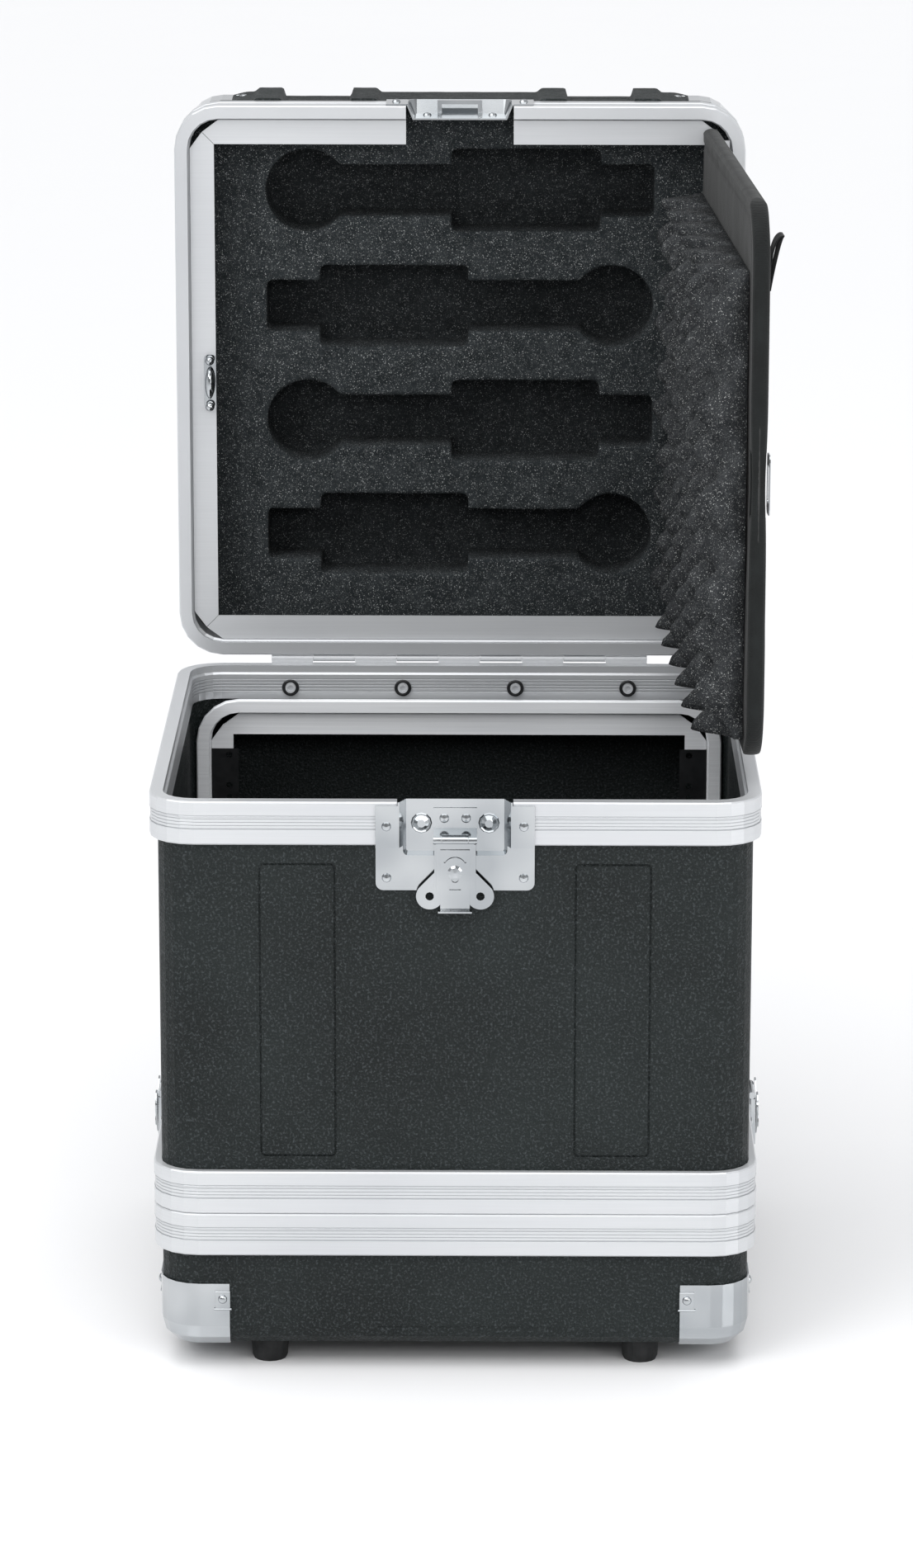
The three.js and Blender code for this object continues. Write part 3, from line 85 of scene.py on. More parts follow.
class Finish:
    """A material built up from procedural nodes around one principled shader."""

    def __init__(self, name, color, roughness, metallic=0.0, specular=0.5):
        self.material = bpy.data.materials.new(name)
        self.material.use_nodes = True
        self.tree = self.material.node_tree
        self.shader = self.tree.nodes["Principled BSDF"]
        self.shader.inputs["Base Color"].default_value = color
        self.shader.inputs["Roughness"].default_value = roughness
        self.shader.inputs["Metallic"].default_value = metallic
        self.shader.inputs["Specular IOR Level"].default_value = specular
        self.place = self.node("ShaderNodeTexCoord").outputs["Object"]
        self.normal = None

    def node(self, kind, **settings):
        made = self.tree.nodes.new(kind)
        for key, value in settings.items():
            setattr(made, key, value)
        return made

    def link(self, source, target):
        self.tree.links.new(source, target)

    def stretched(self, scale):
        """The place on the piece, scaled by its own amount along each axis."""
        mapping = self.node("ShaderNodeMapping")
        mapping.inputs["Scale"].default_value = scale
        self.link(self.place, mapping.inputs["Vector"])
        return mapping.outputs["Vector"]

    def along(self, axis):
        """The place on the piece along one axis, in metres."""
        parts = self.node("ShaderNodeSeparateXYZ")
        self.link(self.place, parts.inputs["Vector"])
        return parts.outputs[axis]

    def noise(self, scale, detail=2.0, roughness=0.5, stretch=None):
        made = self.node("ShaderNodeTexNoise")
        made.inputs["Scale"].default_value = scale
        made.inputs["Detail"].default_value = detail
        made.inputs["Roughness"].default_value = roughness
        self.link(self.stretched(stretch) if stretch else self.place, made.inputs["Vector"])
        return made.outputs["Fac"]

    def cells(self, scale, feature="F1"):
        made = self.node("ShaderNodeTexVoronoi", feature=feature)
        made.inputs["Scale"].default_value = scale
        self.link(self.place, made.inputs["Vector"])
        return made.outputs["Distance"]

    def ramp(self, value, between, gives=(0.0, 1.0)):
        return map_range(self.tree, value, between, gives)

    def math(self, operation, one, two=0.0):
        made = self.node("ShaderNodeMath", operation=operation)
        for socket, value in zip(made.inputs, (one, two)):
            if isinstance(value, (int, float)):
                socket.default_value = value
            else:
                self.link(value, socket)
        return made.outputs["Value"]

    def mix(self, factor, first, second):
        """The first colour where the factor is 0, the second where it is 1."""
        made = self.node("ShaderNodeMix", data_type="RGBA")
        self.link(factor, made.inputs[0])
        for socket, value in ((made.inputs[6], first), (made.inputs[7], second)):
            if isinstance(value, tuple):
                socket.default_value = value
            else:
                self.link(value, socket)
        return made.outputs[2]

    def bump(self, height, strength, depth):
        """Adds fine relief, with its depth in metres, on top of the relief given before."""
        made = self.node("ShaderNodeBump")
        made.inputs["Strength"].default_value = strength
        made.inputs["Distance"].default_value = depth
        self.link(height, made.inputs["Height"])
        if self.normal:
            self.link(self.normal, made.inputs["Normal"])
        self.normal = made.outputs["Normal"]
        self.link(self.normal, self.shader.inputs["Normal"])

    def color(self, source):
        self.link(source, self.shader.inputs["Base Color"])

    def roughness(self, source):
        self.link(source, self.shader.inputs["Roughness"])


# Finishes. Lengths are in metres, so a scale of 500 gives cells about 2 mm across.
def moulded_plastic():
    """Charcoal polyethylene: leather grain, lighter grain tips and faint mottling."""
    made = Finish("moulded plastic", linear(30, 35, 36), roughness=0.54, specular=0.22)
    mottle = made.noise(7, detail=4)
    grain = made.noise(430, roughness=0.6)
    creases = made.cells(260, "DISTANCE_TO_EDGE")
    pores = made.noise(1700)
    scuffs = made.noise(46, detail=6, roughness=0.7, stretch=(1.0, 1.0, 2.2))
    base = made.mix(made.ramp(mottle, (0.35, 0.65)), linear(19, 24, 24), linear(27, 33, 33))
    grained = made.mix(made.ramp(grain, (0.52, 0.7), gives=(0.0, 0.75)), base, linear(66, 71, 73))
    made.color(made.mix(made.ramp(scuffs, (0.66, 0.84), gives=(0.0, 0.35)), grained, linear(88, 93, 94)))
    made.roughness(made.ramp(scuffs, (0.3, 0.75), gives=(0.48, 0.66)))
    made.bump(made.ramp(creases, (0.0, 0.2)), strength=0.55, depth=0.0008)
    made.bump(grain, strength=0.7, depth=0.0012)
    made.bump(pores, strength=0.2, depth=0.0003)
    return made


# Fine lines along each valance: their spacing, half the height of the band they fill and its middle
reed_pitch = 0.0031
reed_half = 0.0079
upright_valances = ("body_valance_top", "body_valance_bottom_front", "bottom_lid_valance_front")
upright_reeds = tuple(middle(name).z for name in upright_valances)
lid_reeds = (0.2278,)


def satin_aluminium(name, metallic, reeds=(), axis="Z", tone=196):
    """Extruded aluminium: drawn lines along its length, and fine reeds around each given middle line, whose
    grooves are sunk by bump and darkened with painted shade.
    """
    drawn_out = 0.012
    stretch = (drawn_out, drawn_out, 1.0) if axis == "Z" else (drawn_out, 1.0, drawn_out)
    made = Finish(name, linear(216, 218, 220), roughness=0.34, metallic=metallic)
    clouds = made.noise(5, detail=1)
    drawn = made.noise(700, detail=3, stretch=stretch)
    dull, bright = linear(tone, tone + 2, tone + 5), linear(tone + 10, tone + 12, tone + 14)
    base = made.mix(made.ramp(clouds, (0.3, 0.7)), dull, bright)
    drawn_lines_and_reed_shade = made.mix(made.ramp(drawn, (0.35, 0.75), gives=(0.0, 0.16)), base, linear(172, 175, 178))
    made.roughness(made.ramp(clouds, (0.3, 0.75), gives=(0.3, 0.36)))
    place = made.along(axis)
    for line in reeds:
        away = made.math("SUBTRACT", place, line)
        inside = made.math("LESS_THAN", made.math("ABSOLUTE", away), reed_half)
        wave = made.math("SINE", made.math("MULTIPLY", away, 2 * math.pi / reed_pitch))
        cut = made.math("MULTIPLY", inside, made.ramp(wave, (0.45, 1.0)))
        # Painted shade: each reed's groove is darkened in colour as well as sunk
        drawn_lines_and_reed_shade = made.mix(made.math("MULTIPLY", cut, 0.75), drawn_lines_and_reed_shade, linear(128, 132, 136))
        made.bump(made.math("MULTIPLY", cut, -1.0), strength=0.5, depth=0.0006)
    made.color(drawn_lines_and_reed_shade)
    made.bump(drawn, strength=0.03, depth=0.0002)
    return made


def plated_steel():
    """Bright zinc plate: soft cast, fingermarks and faint polishing."""
    made = Finish("plated steel", linear(200, 204, 207), roughness=0.2, metallic=1.0)
    clouds = made.noise(17, detail=1)
    marks = made.noise(120)
    made.color(made.mix(made.ramp(clouds, (0.35, 0.68)), linear(164, 168, 171), linear(188, 191, 193)))
    polish = made.ramp(clouds, (0.3, 0.7), gives=(0.09, 0.15))
    made.roughness(made.math("ADD", polish, made.ramp(marks, (0.58, 0.78), gives=(0.0, 0.05))))
    made.bump(marks, strength=0.02, depth=0.0003)
    return made


def black_steel():
    """Painted steel with a fine orange peel."""
    made = Finish("black steel", linear(24, 25, 27), roughness=0.42, metallic=0.2)
    wear = made.noise(30, detail=4)
    peel = made.noise(420, detail=3)
    made.color(made.mix(made.ramp(wear, (0.4, 0.7)), linear(20, 21, 23), linear(36, 37, 39)))
    made.roughness(made.ramp(peel, (0.3, 0.7), gives=(0.32, 0.48)))
    made.bump(peel, strength=0.14, depth=0.0003)
    return made


def flecked_foam(name, dark, light, fleck, pockets=None):
    """Recycled foam: open pores, mottling and pale flecks of scrap, with painted shade that darkens its pockets as
    they deepen.
    """
    made = Finish(name, dark, roughness=0.95, specular=0.12)
    mottle = made.noise(60, detail=5, roughness=0.7)
    big = made.ramp(made.cells(520), (0.17, 0.3), gives=(0.85, 0.0))
    big_patches = made.ramp(made.noise(260, detail=1), (0.44, 0.54))
    small = made.ramp(made.cells(1050), (0.2, 0.34), gives=(0.45, 0.0))
    small_patches = made.ramp(made.noise(420, detail=1), (0.42, 0.54))
    flecks = made.math("MAXIMUM", made.math("MULTIPLY", big, big_patches),
                       made.math("MULTIPLY", small, small_patches))
    base = made.mix(made.ramp(mottle, (0.36, 0.64)), dark, light)
    shown = made.mix(flecks, base, fleck)
    if pockets:
        # Painted shade: the pockets' colour darkens towards their floors
        depth = made.ramp(made.along("Y"), pockets, gives=(0.0, 0.6))
        shown = made.mix(depth, shown, linear(12, 13, 14))
    made.color(shown)
    made.bump(made.noise(900, detail=4, roughness=0.7), strength=0.7, depth=0.001)
    made.bump(made.cells(480), strength=0.4, depth=0.0008)
    return made


def woven_cloth():
    """Black nylon canvas: crossed threads, a little sheen and faint dust."""
    made = Finish("woven cloth", linear(30, 34, 34), roughness=0.82, specular=0.25)
    made.shader.inputs["Sheen Weight"].default_value = 0.12
    made.shader.inputs["Sheen Roughness"].default_value = 0.5
    threads = []
    for direction in ("Z", "Y"):
        thread = made.node("ShaderNodeTexWave", wave_type="BANDS", bands_direction=direction)
        thread.inputs["Scale"].default_value = 160
        thread.inputs["Distortion"].default_value = 0.6
        made.link(made.place, thread.inputs["Vector"])
        threads.append(thread.outputs["Fac"])
    weave = made.math("MAXIMUM", threads[0], threads[1])
    dust = made.noise(30, detail=5, roughness=0.65)
    folds = made.noise(42, detail=3)
    plain = made.mix(made.ramp(dust, (0.38, 0.78)), linear(12, 15, 15), linear(24, 28, 28))
    made.color(made.mix(made.ramp(weave, (0.3, 0.95), gives=(0.35, 0.0)), plain, linear(9, 11, 11)))
    made.bump(weave, strength=0.4, depth=0.0005)
    made.bump(folds, strength=0.3, depth=0.004)
    return made


def foot_rubber():
    """Black rubber with a greyish bloom."""
    made = Finish("foot rubber", linear(24, 25, 26), roughness=0.7, specular=0.35)
    bloom = made.noise(40, detail=4)
    made.roughness(made.ramp(made.noise(90, detail=4), (0.35, 0.7), gives=(0.6, 0.84)))
    made.color(made.mix(made.ramp(bloom, (0.45, 0.75)), linear(20, 21, 22), linear(44, 45, 46)))
    made.bump(made.noise(700, detail=3), strength=0.2, depth=0.0004)
    return made


def mesh_piece(name, vertices, faces, finish, smooth=True):
    """A new piece in the scene, with its finish."""
    mesh = bpy.data.meshes.new(name)
    mesh.from_pydata([tuple(v) for v in vertices], [], faces)
    mesh.materials.append(finish.material)
    for polygon in mesh.polygons:
        polygon.use_smooth = smooth
    mesh.update()
    made = bpy.data.objects.new(name, mesh)
    bpy.context.scene.collection.objects.link(made)
    return made


def with_modifiers(piece):
    """Bakes a piece's modifiers into its mesh."""
    graph = bpy.context.evaluated_depsgraph_get()
    baked = bpy.data.meshes.new_from_object(piece.evaluated_get(graph))
    piece.modifiers.clear()
    piece.data = baked


def facing_out(piece):
    """Turns every face of a closed mesh outwards."""
    mesh = bmesh.new()
    mesh.from_mesh(piece.data)
    bmesh.ops.recalc_face_normals(mesh, faces=mesh.faces)
    mesh.to_mesh(piece.data)
    mesh.free()


def eased(step, steps):
    """A share from 0 to 1 whose steps are finest at both ends."""
    return (1 - math.cos(math.pi * step / steps)) / 2


def closed_grid(columns, rows, front, back):
    """A slab between two grids of points, with its four sides closed."""
    vertices, faces = [], []
    for surface in (front, back):
        vertices += [surface(c, r) for r in range(rows + 1) for c in range(columns + 1)]
    step = (columns + 1) * (rows + 1)

    def at(c, r, layer):
        return layer * step + r * (columns + 1) + c
    for r in range(rows):
        for c in range(columns):
            faces.append((at(c, r, 0), at(c + 1, r, 0), at(c + 1, r + 1, 0), at(c, r + 1, 0)))
            faces.append((at(c, r, 1), at(c, r + 1, 1), at(c + 1, r + 1, 1), at(c + 1, r, 1)))
    for c in range(columns):
        faces.append((at(c, 0, 1), at(c + 1, 0, 1), at(c + 1, 0, 0), at(c, 0, 0)))
        faces.append((at(c, rows, 0), at(c + 1, rows, 0), at(c + 1, rows, 1), at(c, rows, 1)))
    for r in range(rows):
        faces.append((at(0, r, 0), at(0, r + 1, 0), at(0, r + 1, 1), at(0, r, 1)))
        faces.append((at(columns, r, 1), at(columns, r + 1, 1), at(columns, r + 1, 0), at(columns, r, 0)))
    return vertices, faces


# The flap turns on its hinge line, from its foot up, and leans a little past square
hinge_line = Vector(joint_places["flap_hinge"])
hinge_line.z = box("flap_panel")[0].z
flap_lean_degrees = 3
flap_lean = Matrix.Rotation(math.radians(flap_lean_degrees), 4, "Z")
flap_reach = 0.516
flap_height = 0.508
flap_lower_corner = 0.048
flap_upper_corner = 0.058
flap_outer = 0.002
flap_inner = -0.016

# The free foot droops: how far, from which share of the reach, up to which height, and how suddenly
flap_droop = 0.012
droop_start_share = 0.3
droop_height = 0.2
droop_reach_power = 1.6
droop_level_power = 1.3

# Kinds of unevenness: its depth, its scales along and up the flap, and a layer that sets it apart
crate_swells = (0.0030, (17, 17), 4.0)
crate_pores = (0.0010, (230, 230), 7.0)
cloth_billows = (0.0010, (11, 8), 0.3)
cloth_ripples = (0.0007, (28, 22), 2.0)

# Where the flap lies over the turn button when it is shut
button_reach = hinge_line.x - middle("turn_button").x
button_level = middle("turn_button").z - hinge_line.z


def flap_point(side, reach, level):
    """A place on the open flap: side to the lid's right, reach from the hinge, level from the foot."""
    return hinge_line + flap_lean @ Vector((side, -reach, level))


def sag(reach, level):
    """How far the flap's free foot droops towards its outer corner."""
    along = max(0.0, (reach / flap_reach - droop_start_share) / (1 - droop_start_share))
    low = max(0.0, 1 - level / droop_height)
    return flap_droop * along ** droop_reach_power * low ** droop_level_power


def corner_reach(level):
    """The flap's reach at a level, with its two outer corners rounded off."""
    lower = level < flap_height / 2
    near = level if lower else flap_height - level
    corner = flap_lower_corner if lower else flap_upper_corner
    if near >= corner:
        return flap_reach
    drop = corner - near
    return flap_reach - corner + math.sqrt(max(0.0, corner ** 2 - drop ** 2))


def uneven(kind, reach, level):
    """A soft random rise or dip of one kind, at a place on the flap."""
    depth, scales, layer = kind
    return depth * noise.noise(Vector((reach * scales[0], level * scales[1], layer)))


def press_shut(piece):
    """Gives the piece its own copy of its mesh."""
    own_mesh(piece)


# Egg-crate foam on the flap, glued a hair off the cloth
crate_reach = (0.014, 0.492)
crate_levels = tuple(corner.z - hinge_line.z for corner in box("flap_foam"))
crate_gap = 0.0003
crate_root = flap_inner - crate_gap
crate_backing = 0.008
crate_peak = 0.0385
crate_power = 1.15
crate_cells = (6, 5)
crate_steps = 14
valley_roughness_share = 0.3
crate_sag_share = 0.7


def flap_foam(finish):
    """Egg-crate foam: rounded peaks, narrower rounded valleys, each a little different."""
    columns, rows = crate_cells[0] * crate_steps, crate_cells[1] * crate_steps
    deep = crate_reach[1] - crate_reach[0]
    tall = crate_levels[1] - crate_levels[0]
    cell_turn = 2 * math.pi / crate_steps

    def spot(c, r):
        return crate_reach[0] + deep * c / columns, crate_levels[0] + tall * r / rows

    def height(c, r):
        wave = 0.5 - 0.5 * math.cos(c * cell_turn) * math.cos(r * cell_turn)
        reach, level = spot(c, r)
        rough = uneven(crate_swells, reach, level) + uneven(crate_pores, reach, level)
        return crate_backing + crate_peak * wave ** crate_power + rough * (valley_roughness_share + wave)

    def sunk(side, reach, level):
        return flap_point(side, reach, level - crate_sag_share * sag(reach, level))

    def front(c, r):
        return sunk(crate_root - height(c, r), *spot(c, r))

    def back(c, r):
        return sunk(crate_root, *spot(c, r))
    piece = mesh_piece("flap_egg_crate", *closed_grid(columns, rows, front, back), finish)
    facing_out(piece)
    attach(piece, "flap")
    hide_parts("flap_foam")
    press_shut(piece)


# The slot through the flap, as half sizes, and how far its cutter stands out on either side
slot_half_reach = 0.0072
slot_half_level = 0.0300
slot_overrun = 0.03


def cut_slot(piece, finish):
    """A slot through the flap for the turn button and its base."""
    around = ((-slot_half_reach, -slot_half_level), (slot_half_reach, -slot_half_level),
              (slot_half_reach, slot_half_level), (-slot_half_reach, slot_half_level))
    corners = [flap_point(side, button_reach + along, button_level + up)
               for side in (-slot_overrun, slot_overrun) for along, up in around]
    faces = [(0, 1, 2, 3), (7, 6, 5, 4)] + [(i, i + 4, (i + 1) % 4 + 4, (i + 1) % 4) for i in range(4)]
    cutter = mesh_piece("slot_cutter", corners, faces, finish, smooth=False)
    facing_out(cutter)
    cut = piece.modifiers.new("slot", "BOOLEAN")
    cut.operation = "DIFFERENCE"
    cut.solver = "EXACT"
    cut.object = cutter
    with_modifiers(piece)
    bpy.data.objects.remove(cutter)


# The flap's cloth: its rounded hem, the seam inside it, and the dip round the turn button's slot
cloth_steps = 110
hem_round = 0.0055
hinge_gap = 0.0003
ripple_room = 0.0012
hem_half = 0.0002
seam_depth = 0.0011
seam_inset = 0.016
seam_half = 0.0022
pinch_depth = 0.0016
pinch_reach = 0.02
pinch_level = 0.04


def flap_cloth(finish):
    """The padded flap: a cloth-covered board with rounded edges, a seam near each and loose ripples."""
    board_middle = (flap_outer + flap_inner) / 2
    board_half = (flap_outer - flap_inner) / 2

    def spot(c, r):
        level = flap_height * eased(r, cloth_steps)
        return hinge_gap + (corner_reach(level) - hinge_gap) * eased(c, cloth_steps), level

    def swell(reach, level):
        edge = min(corner_reach(level) - reach, level, flap_height - level)
        inward = max(0.0, 1 - max(0.0, edge) / hem_round)
        rounded = math.sqrt(max(0.0, 1 - inward ** 2))
        seam = seam_depth * math.exp(-((edge - seam_inset) / seam_half) ** 2)
        ripple = uneven(cloth_billows, reach, level) + uneven(cloth_ripples, reach, level)
        away = ((reach - button_reach) / pinch_reach) ** 2 + ((level - button_level) / pinch_level) ** 2
        pinch = pinch_depth * math.exp(-away)
        return ((board_half - ripple_room) * rounded - seam - pinch
                + (ripple if edge > hem_round else 0.0) + hem_half)

    def face(sign):
        def point(c, r):
            reach, level = spot(c, r)
            return flap_point(board_middle + sign * swell(reach, level), reach, level - sag(reach, level))
        return point
    grid = closed_grid(cloth_steps, cloth_steps, face(1), face(-1))
    piece = mesh_piece("flap_cloth_panel", *grid, finish)
    facing_out(piece)
    cut_slot(piece, finish)
    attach(piece, "flap")
    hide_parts("flap_panel")
    press_shut(piece)


# The lid's foam: the size of its even mesh, its fine and broad roughness, and its skin set in by as much
foam_voxel = 0.0029
foam_relax_share = 0.4
foam_fine_depth = 0.0004
foam_fine_scale = 190
foam_broad_depth = 0.0006
foam_broad_scale = 25
foam_inset = 0.0004
# Painted shade in the lid foam's pockets: the span along Y over which their colour darkens
painted_pocket_shade_span = (0.270, 0.330)


def lid_foam(finish):
    """The lid's foam block with its four cut pockets, edges softened by the cutter."""
    piece = bpy.data.objects.new("lid_foam_block", nodes["mic_foam"].data.copy())
    bpy.context.scene.collection.objects.link(piece)
    remesh = piece.modifiers.new("even", "REMESH")
    remesh.mode = "VOXEL"
    remesh.voxel_size = foam_voxel
    relax = piece.modifiers.new("relax", "SMOOTH")
    relax.factor = foam_relax_share
    relax.iterations = 1
    with_modifiers(piece)
    normals = [vertex.normal.copy() for vertex in piece.data.vertices]
    places = [vertex.co.copy() for vertex in piece.data.vertices]
    moved = []
    for place, normal in zip(places, normals):
        fine = foam_fine_depth * noise.noise(place * foam_fine_scale)
        broad = foam_broad_depth * noise.noise(place * foam_broad_scale)
        moved.extend(place + normal * (fine + broad - foam_inset))
    piece.data.vertices.foreach_set("co", moved)
    piece.data.materials.clear()
    piece.data.materials.append(finish.material)
    piece.data.polygons.foreach_set("use_smooth", [True] * len(piece.data.polygons))
    piece.data.update()
    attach(piece, "lid")
    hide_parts("mic_foam")


# The pull tab's webbing, and the loop that it makes on the flap
webbing_width = 0.022
webbing_edge = 0.001
webbing_thickness = 0.0014
pull_reach = 0.468
pull_foot = 0.427
pull_tip = 0.477
pull_off_cloth = 0.0012
pull_lean = 0.0118
pull_bulge = 0.0024
pull_lean_power = 1.3
pull_bulge_power = 0.8
pull_rise_power = 0.9
pull_steps = 40


def pull_tab(finish):
    """A folded loop of webbing sewn to the flap's outer face, standing a little off it."""
    lanes = (0.0, webbing_edge, webbing_width - webbing_edge, webbing_width)
    points, faces = [], []
    for step in range(pull_steps + 1):
        share = 1 - abs(2 * step / pull_steps - 1)
        ply = -1 if step < pull_steps / 2 else 1
        bulge = ply * pull_bulge * math.sin(math.pi * share) ** pull_bulge_power
        side = flap_outer + pull_off_cloth + pull_lean * share ** pull_lean_power + bulge
        level = pull_foot + (pull_tip - pull_foot) * math.sin(math.pi / 2 * share) ** pull_rise_power
        points += [flap_point(side, pull_reach + lane, level) for lane in lanes]
    for step in range(pull_steps):
        for lane in range(len(lanes) - 1):
            one = step * len(lanes) + lane
            faces.append((one, one + 1, one + 1 + len(lanes), one + len(lanes)))
    piece = mesh_piece("flap_pull_loop", points, faces, finish)
    thick = piece.modifiers.new("thick", "SOLIDIFY")
    thick.thickness = webbing_thickness
    thick.offset = 0
    with_modifiers(piece)
    facing_out(piece)
    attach(piece, "flap")
    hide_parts("flap_pull_tab")


# Small fittings, built in a frame whose Z looks out of the wall
def wall_frame(place, out, up):
    """A frame at a place on a wall: Z looks out of the wall, Y along it."""
    z = Vector(out).normalized()
    y = Vector(up).normalized()
    frame_axes = Matrix((y.cross(z), y, z)).transposed()
    return Matrix.Translation(Vector(place)) @ frame_axes.to_4x4()


def dome_rings(radius, height, rings=5, sides=20):
    """A rivet head that stands on z = 0, as vertices and faces."""
    vertices, faces = [], []
    for ring in range(rings):
        turn = math.pi / 2 * ring / rings
        for side in range(sides):
            angle = 2 * math.pi * side / sides
            reach = radius * math.cos(turn)
            vertices.append((reach * math.cos(angle), reach * math.sin(angle), height * math.sin(turn)))
    vertices += [(0, 0, height), (0, 0, 0)]
    top, foot = len(vertices) - 2, len(vertices) - 1
    for ring in range(rings - 1):
        for side in range(sides):
            after = (side + 1) % sides
            faces.append((ring * sides + side, ring * sides + after,
                          (ring + 1) * sides + after, (ring + 1) * sides + side))
    last = (rings - 1) * sides
    for side in range(sides):
        after = (side + 1) % sides
        faces.append((last + side, last + after, top))
        faces.append((after, side, foot))
    return vertices, faces


def slab(width, length, low, high, edge):
    """A low plate with sloped edges, as vertices and faces."""
    vertices = []
    for grow, level in ((0.0, low), (0.0, high - edge), (-edge, high)):
        x, y = width / 2 + grow, length / 2 + grow
        vertices += [(-x, -y, level), (x, -y, level), (x, y, level), (-x, y, level)]
    faces = [(3, 2, 1, 0), (8, 9, 10, 11)]
    for row in (0, 4):
        for side in range(4):
            after = (side + 1) % 4
            faces.append((row + side, row + after, row + 4 + after, row + 4 + side))
    return vertices, faces


def joined(parts):
    """One mesh from parts, each a frame with its vertices and faces."""
    vertices, faces = [], []
    for place, (points, sides) in parts:
        base = len(vertices)
        vertices += [place @ Vector(point) for point in points]
        faces += [tuple(base + index for index in side) for side in sides]
    return vertices, faces


# A ball corner's tab: its plate, the lip folded at the plate's foot, and the rivet
corner_count = 4
tab_sunk = 0.0006
tab_plate = {"width": 0.014, "length": 0.017, "low": -tab_sunk, "high": 0.0009, "edge": 0.0004}
tab_lip = {"width": 0.0165, "length": 0.0018, "low": -tab_sunk, "high": 0.0018, "edge": 0.0005}
tab_lip_drop = 0.0092
tab_rivet_radius = 0.0044
tab_rivet_height = 0.0030
tab_rivet_shift = 0.0008
tab_from_inner_edge = 0.0065
tab_off_end = 0.0003
tab_off_side = 0.0002
tab_sharp_degrees = 40


def corner_tab_places(lid, end, rim, below_rim):
    """Two places on each ball corner of a lid: on its end face and on its side face, by the inner edge.

    Each is a point, the way out of the wall and the way up to the rim. End and rim are axes, 0 to 2.
    """
    side = 0
    centre = middle(f"{lid}_shell")
    places = []
    for number in range(1, corner_count + 1):
        low, high = box(f"{lid}_corner_{number}")
        away = Vector([math.copysign(1, low[axis] - centre[axis]) for axis in range(3)])
        inner = Vector([low[axis] if away[axis] > 0 else high[axis] for axis in range(3)])
        outer = low + high - inner
        up = Vector()
        up[rim] = -away[rim]
        for face, along, gap in ((end, side, tab_off_end), (side, end, tab_off_side)):
            place = inner.copy()
            place[rim] += away[rim] * below_rim
            place[along] += away[along] * tab_from_inner_edge
            place[face] = outer[face] + away[face] * gap
            out = Vector()
            out[face] = away[face]
            places.append((place, out, up))
    return places


def corner_tabs(name, places, body, finish):
    """Riveted tabs of the ball corners: a small plate, a folded lip and a ball rivet each."""
    parts = []
    for place, out, up in places:
        seat = wall_frame(place, out, up)
        parts.append((seat, slab(**tab_plate)))
        parts.append((seat @ Matrix.Translation((0, -tab_lip_drop, 0)), slab(**tab_lip)))
        rivet = Matrix.Translation((0, tab_rivet_shift, tab_rivet_shift))
        parts.append((seat @ rivet, dome_rings(tab_rivet_radius, tab_rivet_height)))
    piece = mesh_piece(name, *joined(parts), finish)
    piece.data.set_sharp_from_angle(angle=math.radians(tab_sharp_degrees))
    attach(piece, body)


# The turn button's oval and the rivets of its base
button_off_base = 0.0002
oval_half_width = 0.0051
oval_half_height = 0.0152
oval_rise = 0.0068
base_rivet_radius = 0.0046
base_rivet_offset = 0.0232


def turn_button_fittings(finish):
    """The turn button's rounded oval, and the ball rivet at each end of its base."""
    seat = middle("turn_button")
    seat.y = box("turn_button_base")[0].y - button_off_base
    wall = wall_frame(seat, (0, -1, 0), (0, 0, 1))
    oval = wall @ Matrix.Diagonal((oval_half_width, oval_half_height, 1, 1))
    dome = dome_rings(1.0, oval_rise, rings=10, sides=36)
    knob = mesh_piece("turn_button_oval", *joined([(oval, dome)]), finish)
    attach(knob, "turn_button_body")
    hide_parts("turn_button")
    ball = dome_rings(base_rivet_radius, base_rivet_radius, rings=7, sides=24)
    ends = [(wall @ Matrix.Translation((0, sign * base_rivet_offset, 0)), ball) for sign in (-1, 1)]
    rivets = mesh_piece("turn_button_rivets", *joined(ends), finish)
    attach(rivets, "lid")


# The hinge bolts inside the body, from the lower left front corner of the hinge leaf, and their washers
bolt_count = 4
bolt_end_margin = 0.01975
bolt_set_back = 0.0029
bolt_height = 0.0120
washer_radius = 0.0070
washer_half_width = 0.0016
washer_half_thickness = 0.0011


def bolt_washers(finish):
    """Dark washers round the four hinge bolts inside the body."""
    rings, around = 8, 32
    leaf_low, leaf_high = box("hinge_leaf_body")
    spacing = (leaf_high.x - leaf_low.x - 2 * bolt_end_margin) / (bolt_count - 1)
    vertices, faces = [], []
    for bolt in range(bolt_count):
        seat = leaf_low + Vector((bolt_end_margin + bolt * spacing, bolt_set_back, bolt_height))
        base = len(vertices)
        for side in range(around):
            angle = 2 * math.pi * side / around
            spoke = Vector((math.cos(angle), 0, math.sin(angle)))
            for ring in range(rings):
                turn = 2 * math.pi * ring / rings
                reach = washer_radius + washer_half_width * math.cos(turn)
                rise = Vector((0, washer_half_thickness * math.sin(turn), 0))
                vertices.append(seat + spoke * reach + rise)
        for side in range(around):
            for ring in range(rings):
                one, two = side * rings, (side + 1) % around * rings
                after = (ring + 1) % rings
                faces.append(tuple(base + index for index in
                                   (one + ring, one + after, two + after, two + ring)))
    piece = mesh_piece("hinge_bolt_washers", vertices, faces, finish)
    facing_out(piece)
    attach(piece, "case_body")


# The lid's upper wall: its two panels from left to right, the swell, the pads and how soon each fades out
top_panels = ((-0.1755, -0.1115), (0.1085, 0.1705))
swell_half_width = 0.2420
swell_front = 0.2495
swell_back = 0.3470
swell_rise = 0.0058
swell_side_fade = 0.03
swell_back_fade = 0.012
panel_fade = 0.0035
pad_rise = 0.0042
pad_width = 0.0330
pad_fade = 0.007
swell_sunk = 0.0004
swell_foot = 0.0014
swell_grain_depth = 0.0002
swell_grain_scale = 60


def faded(distance, reach):
    """A share that eases from 0 to 1 over a reach."""
    share = min(1.0, max(0.0, distance / reach))
    return share * share * (3 - 2 * share)


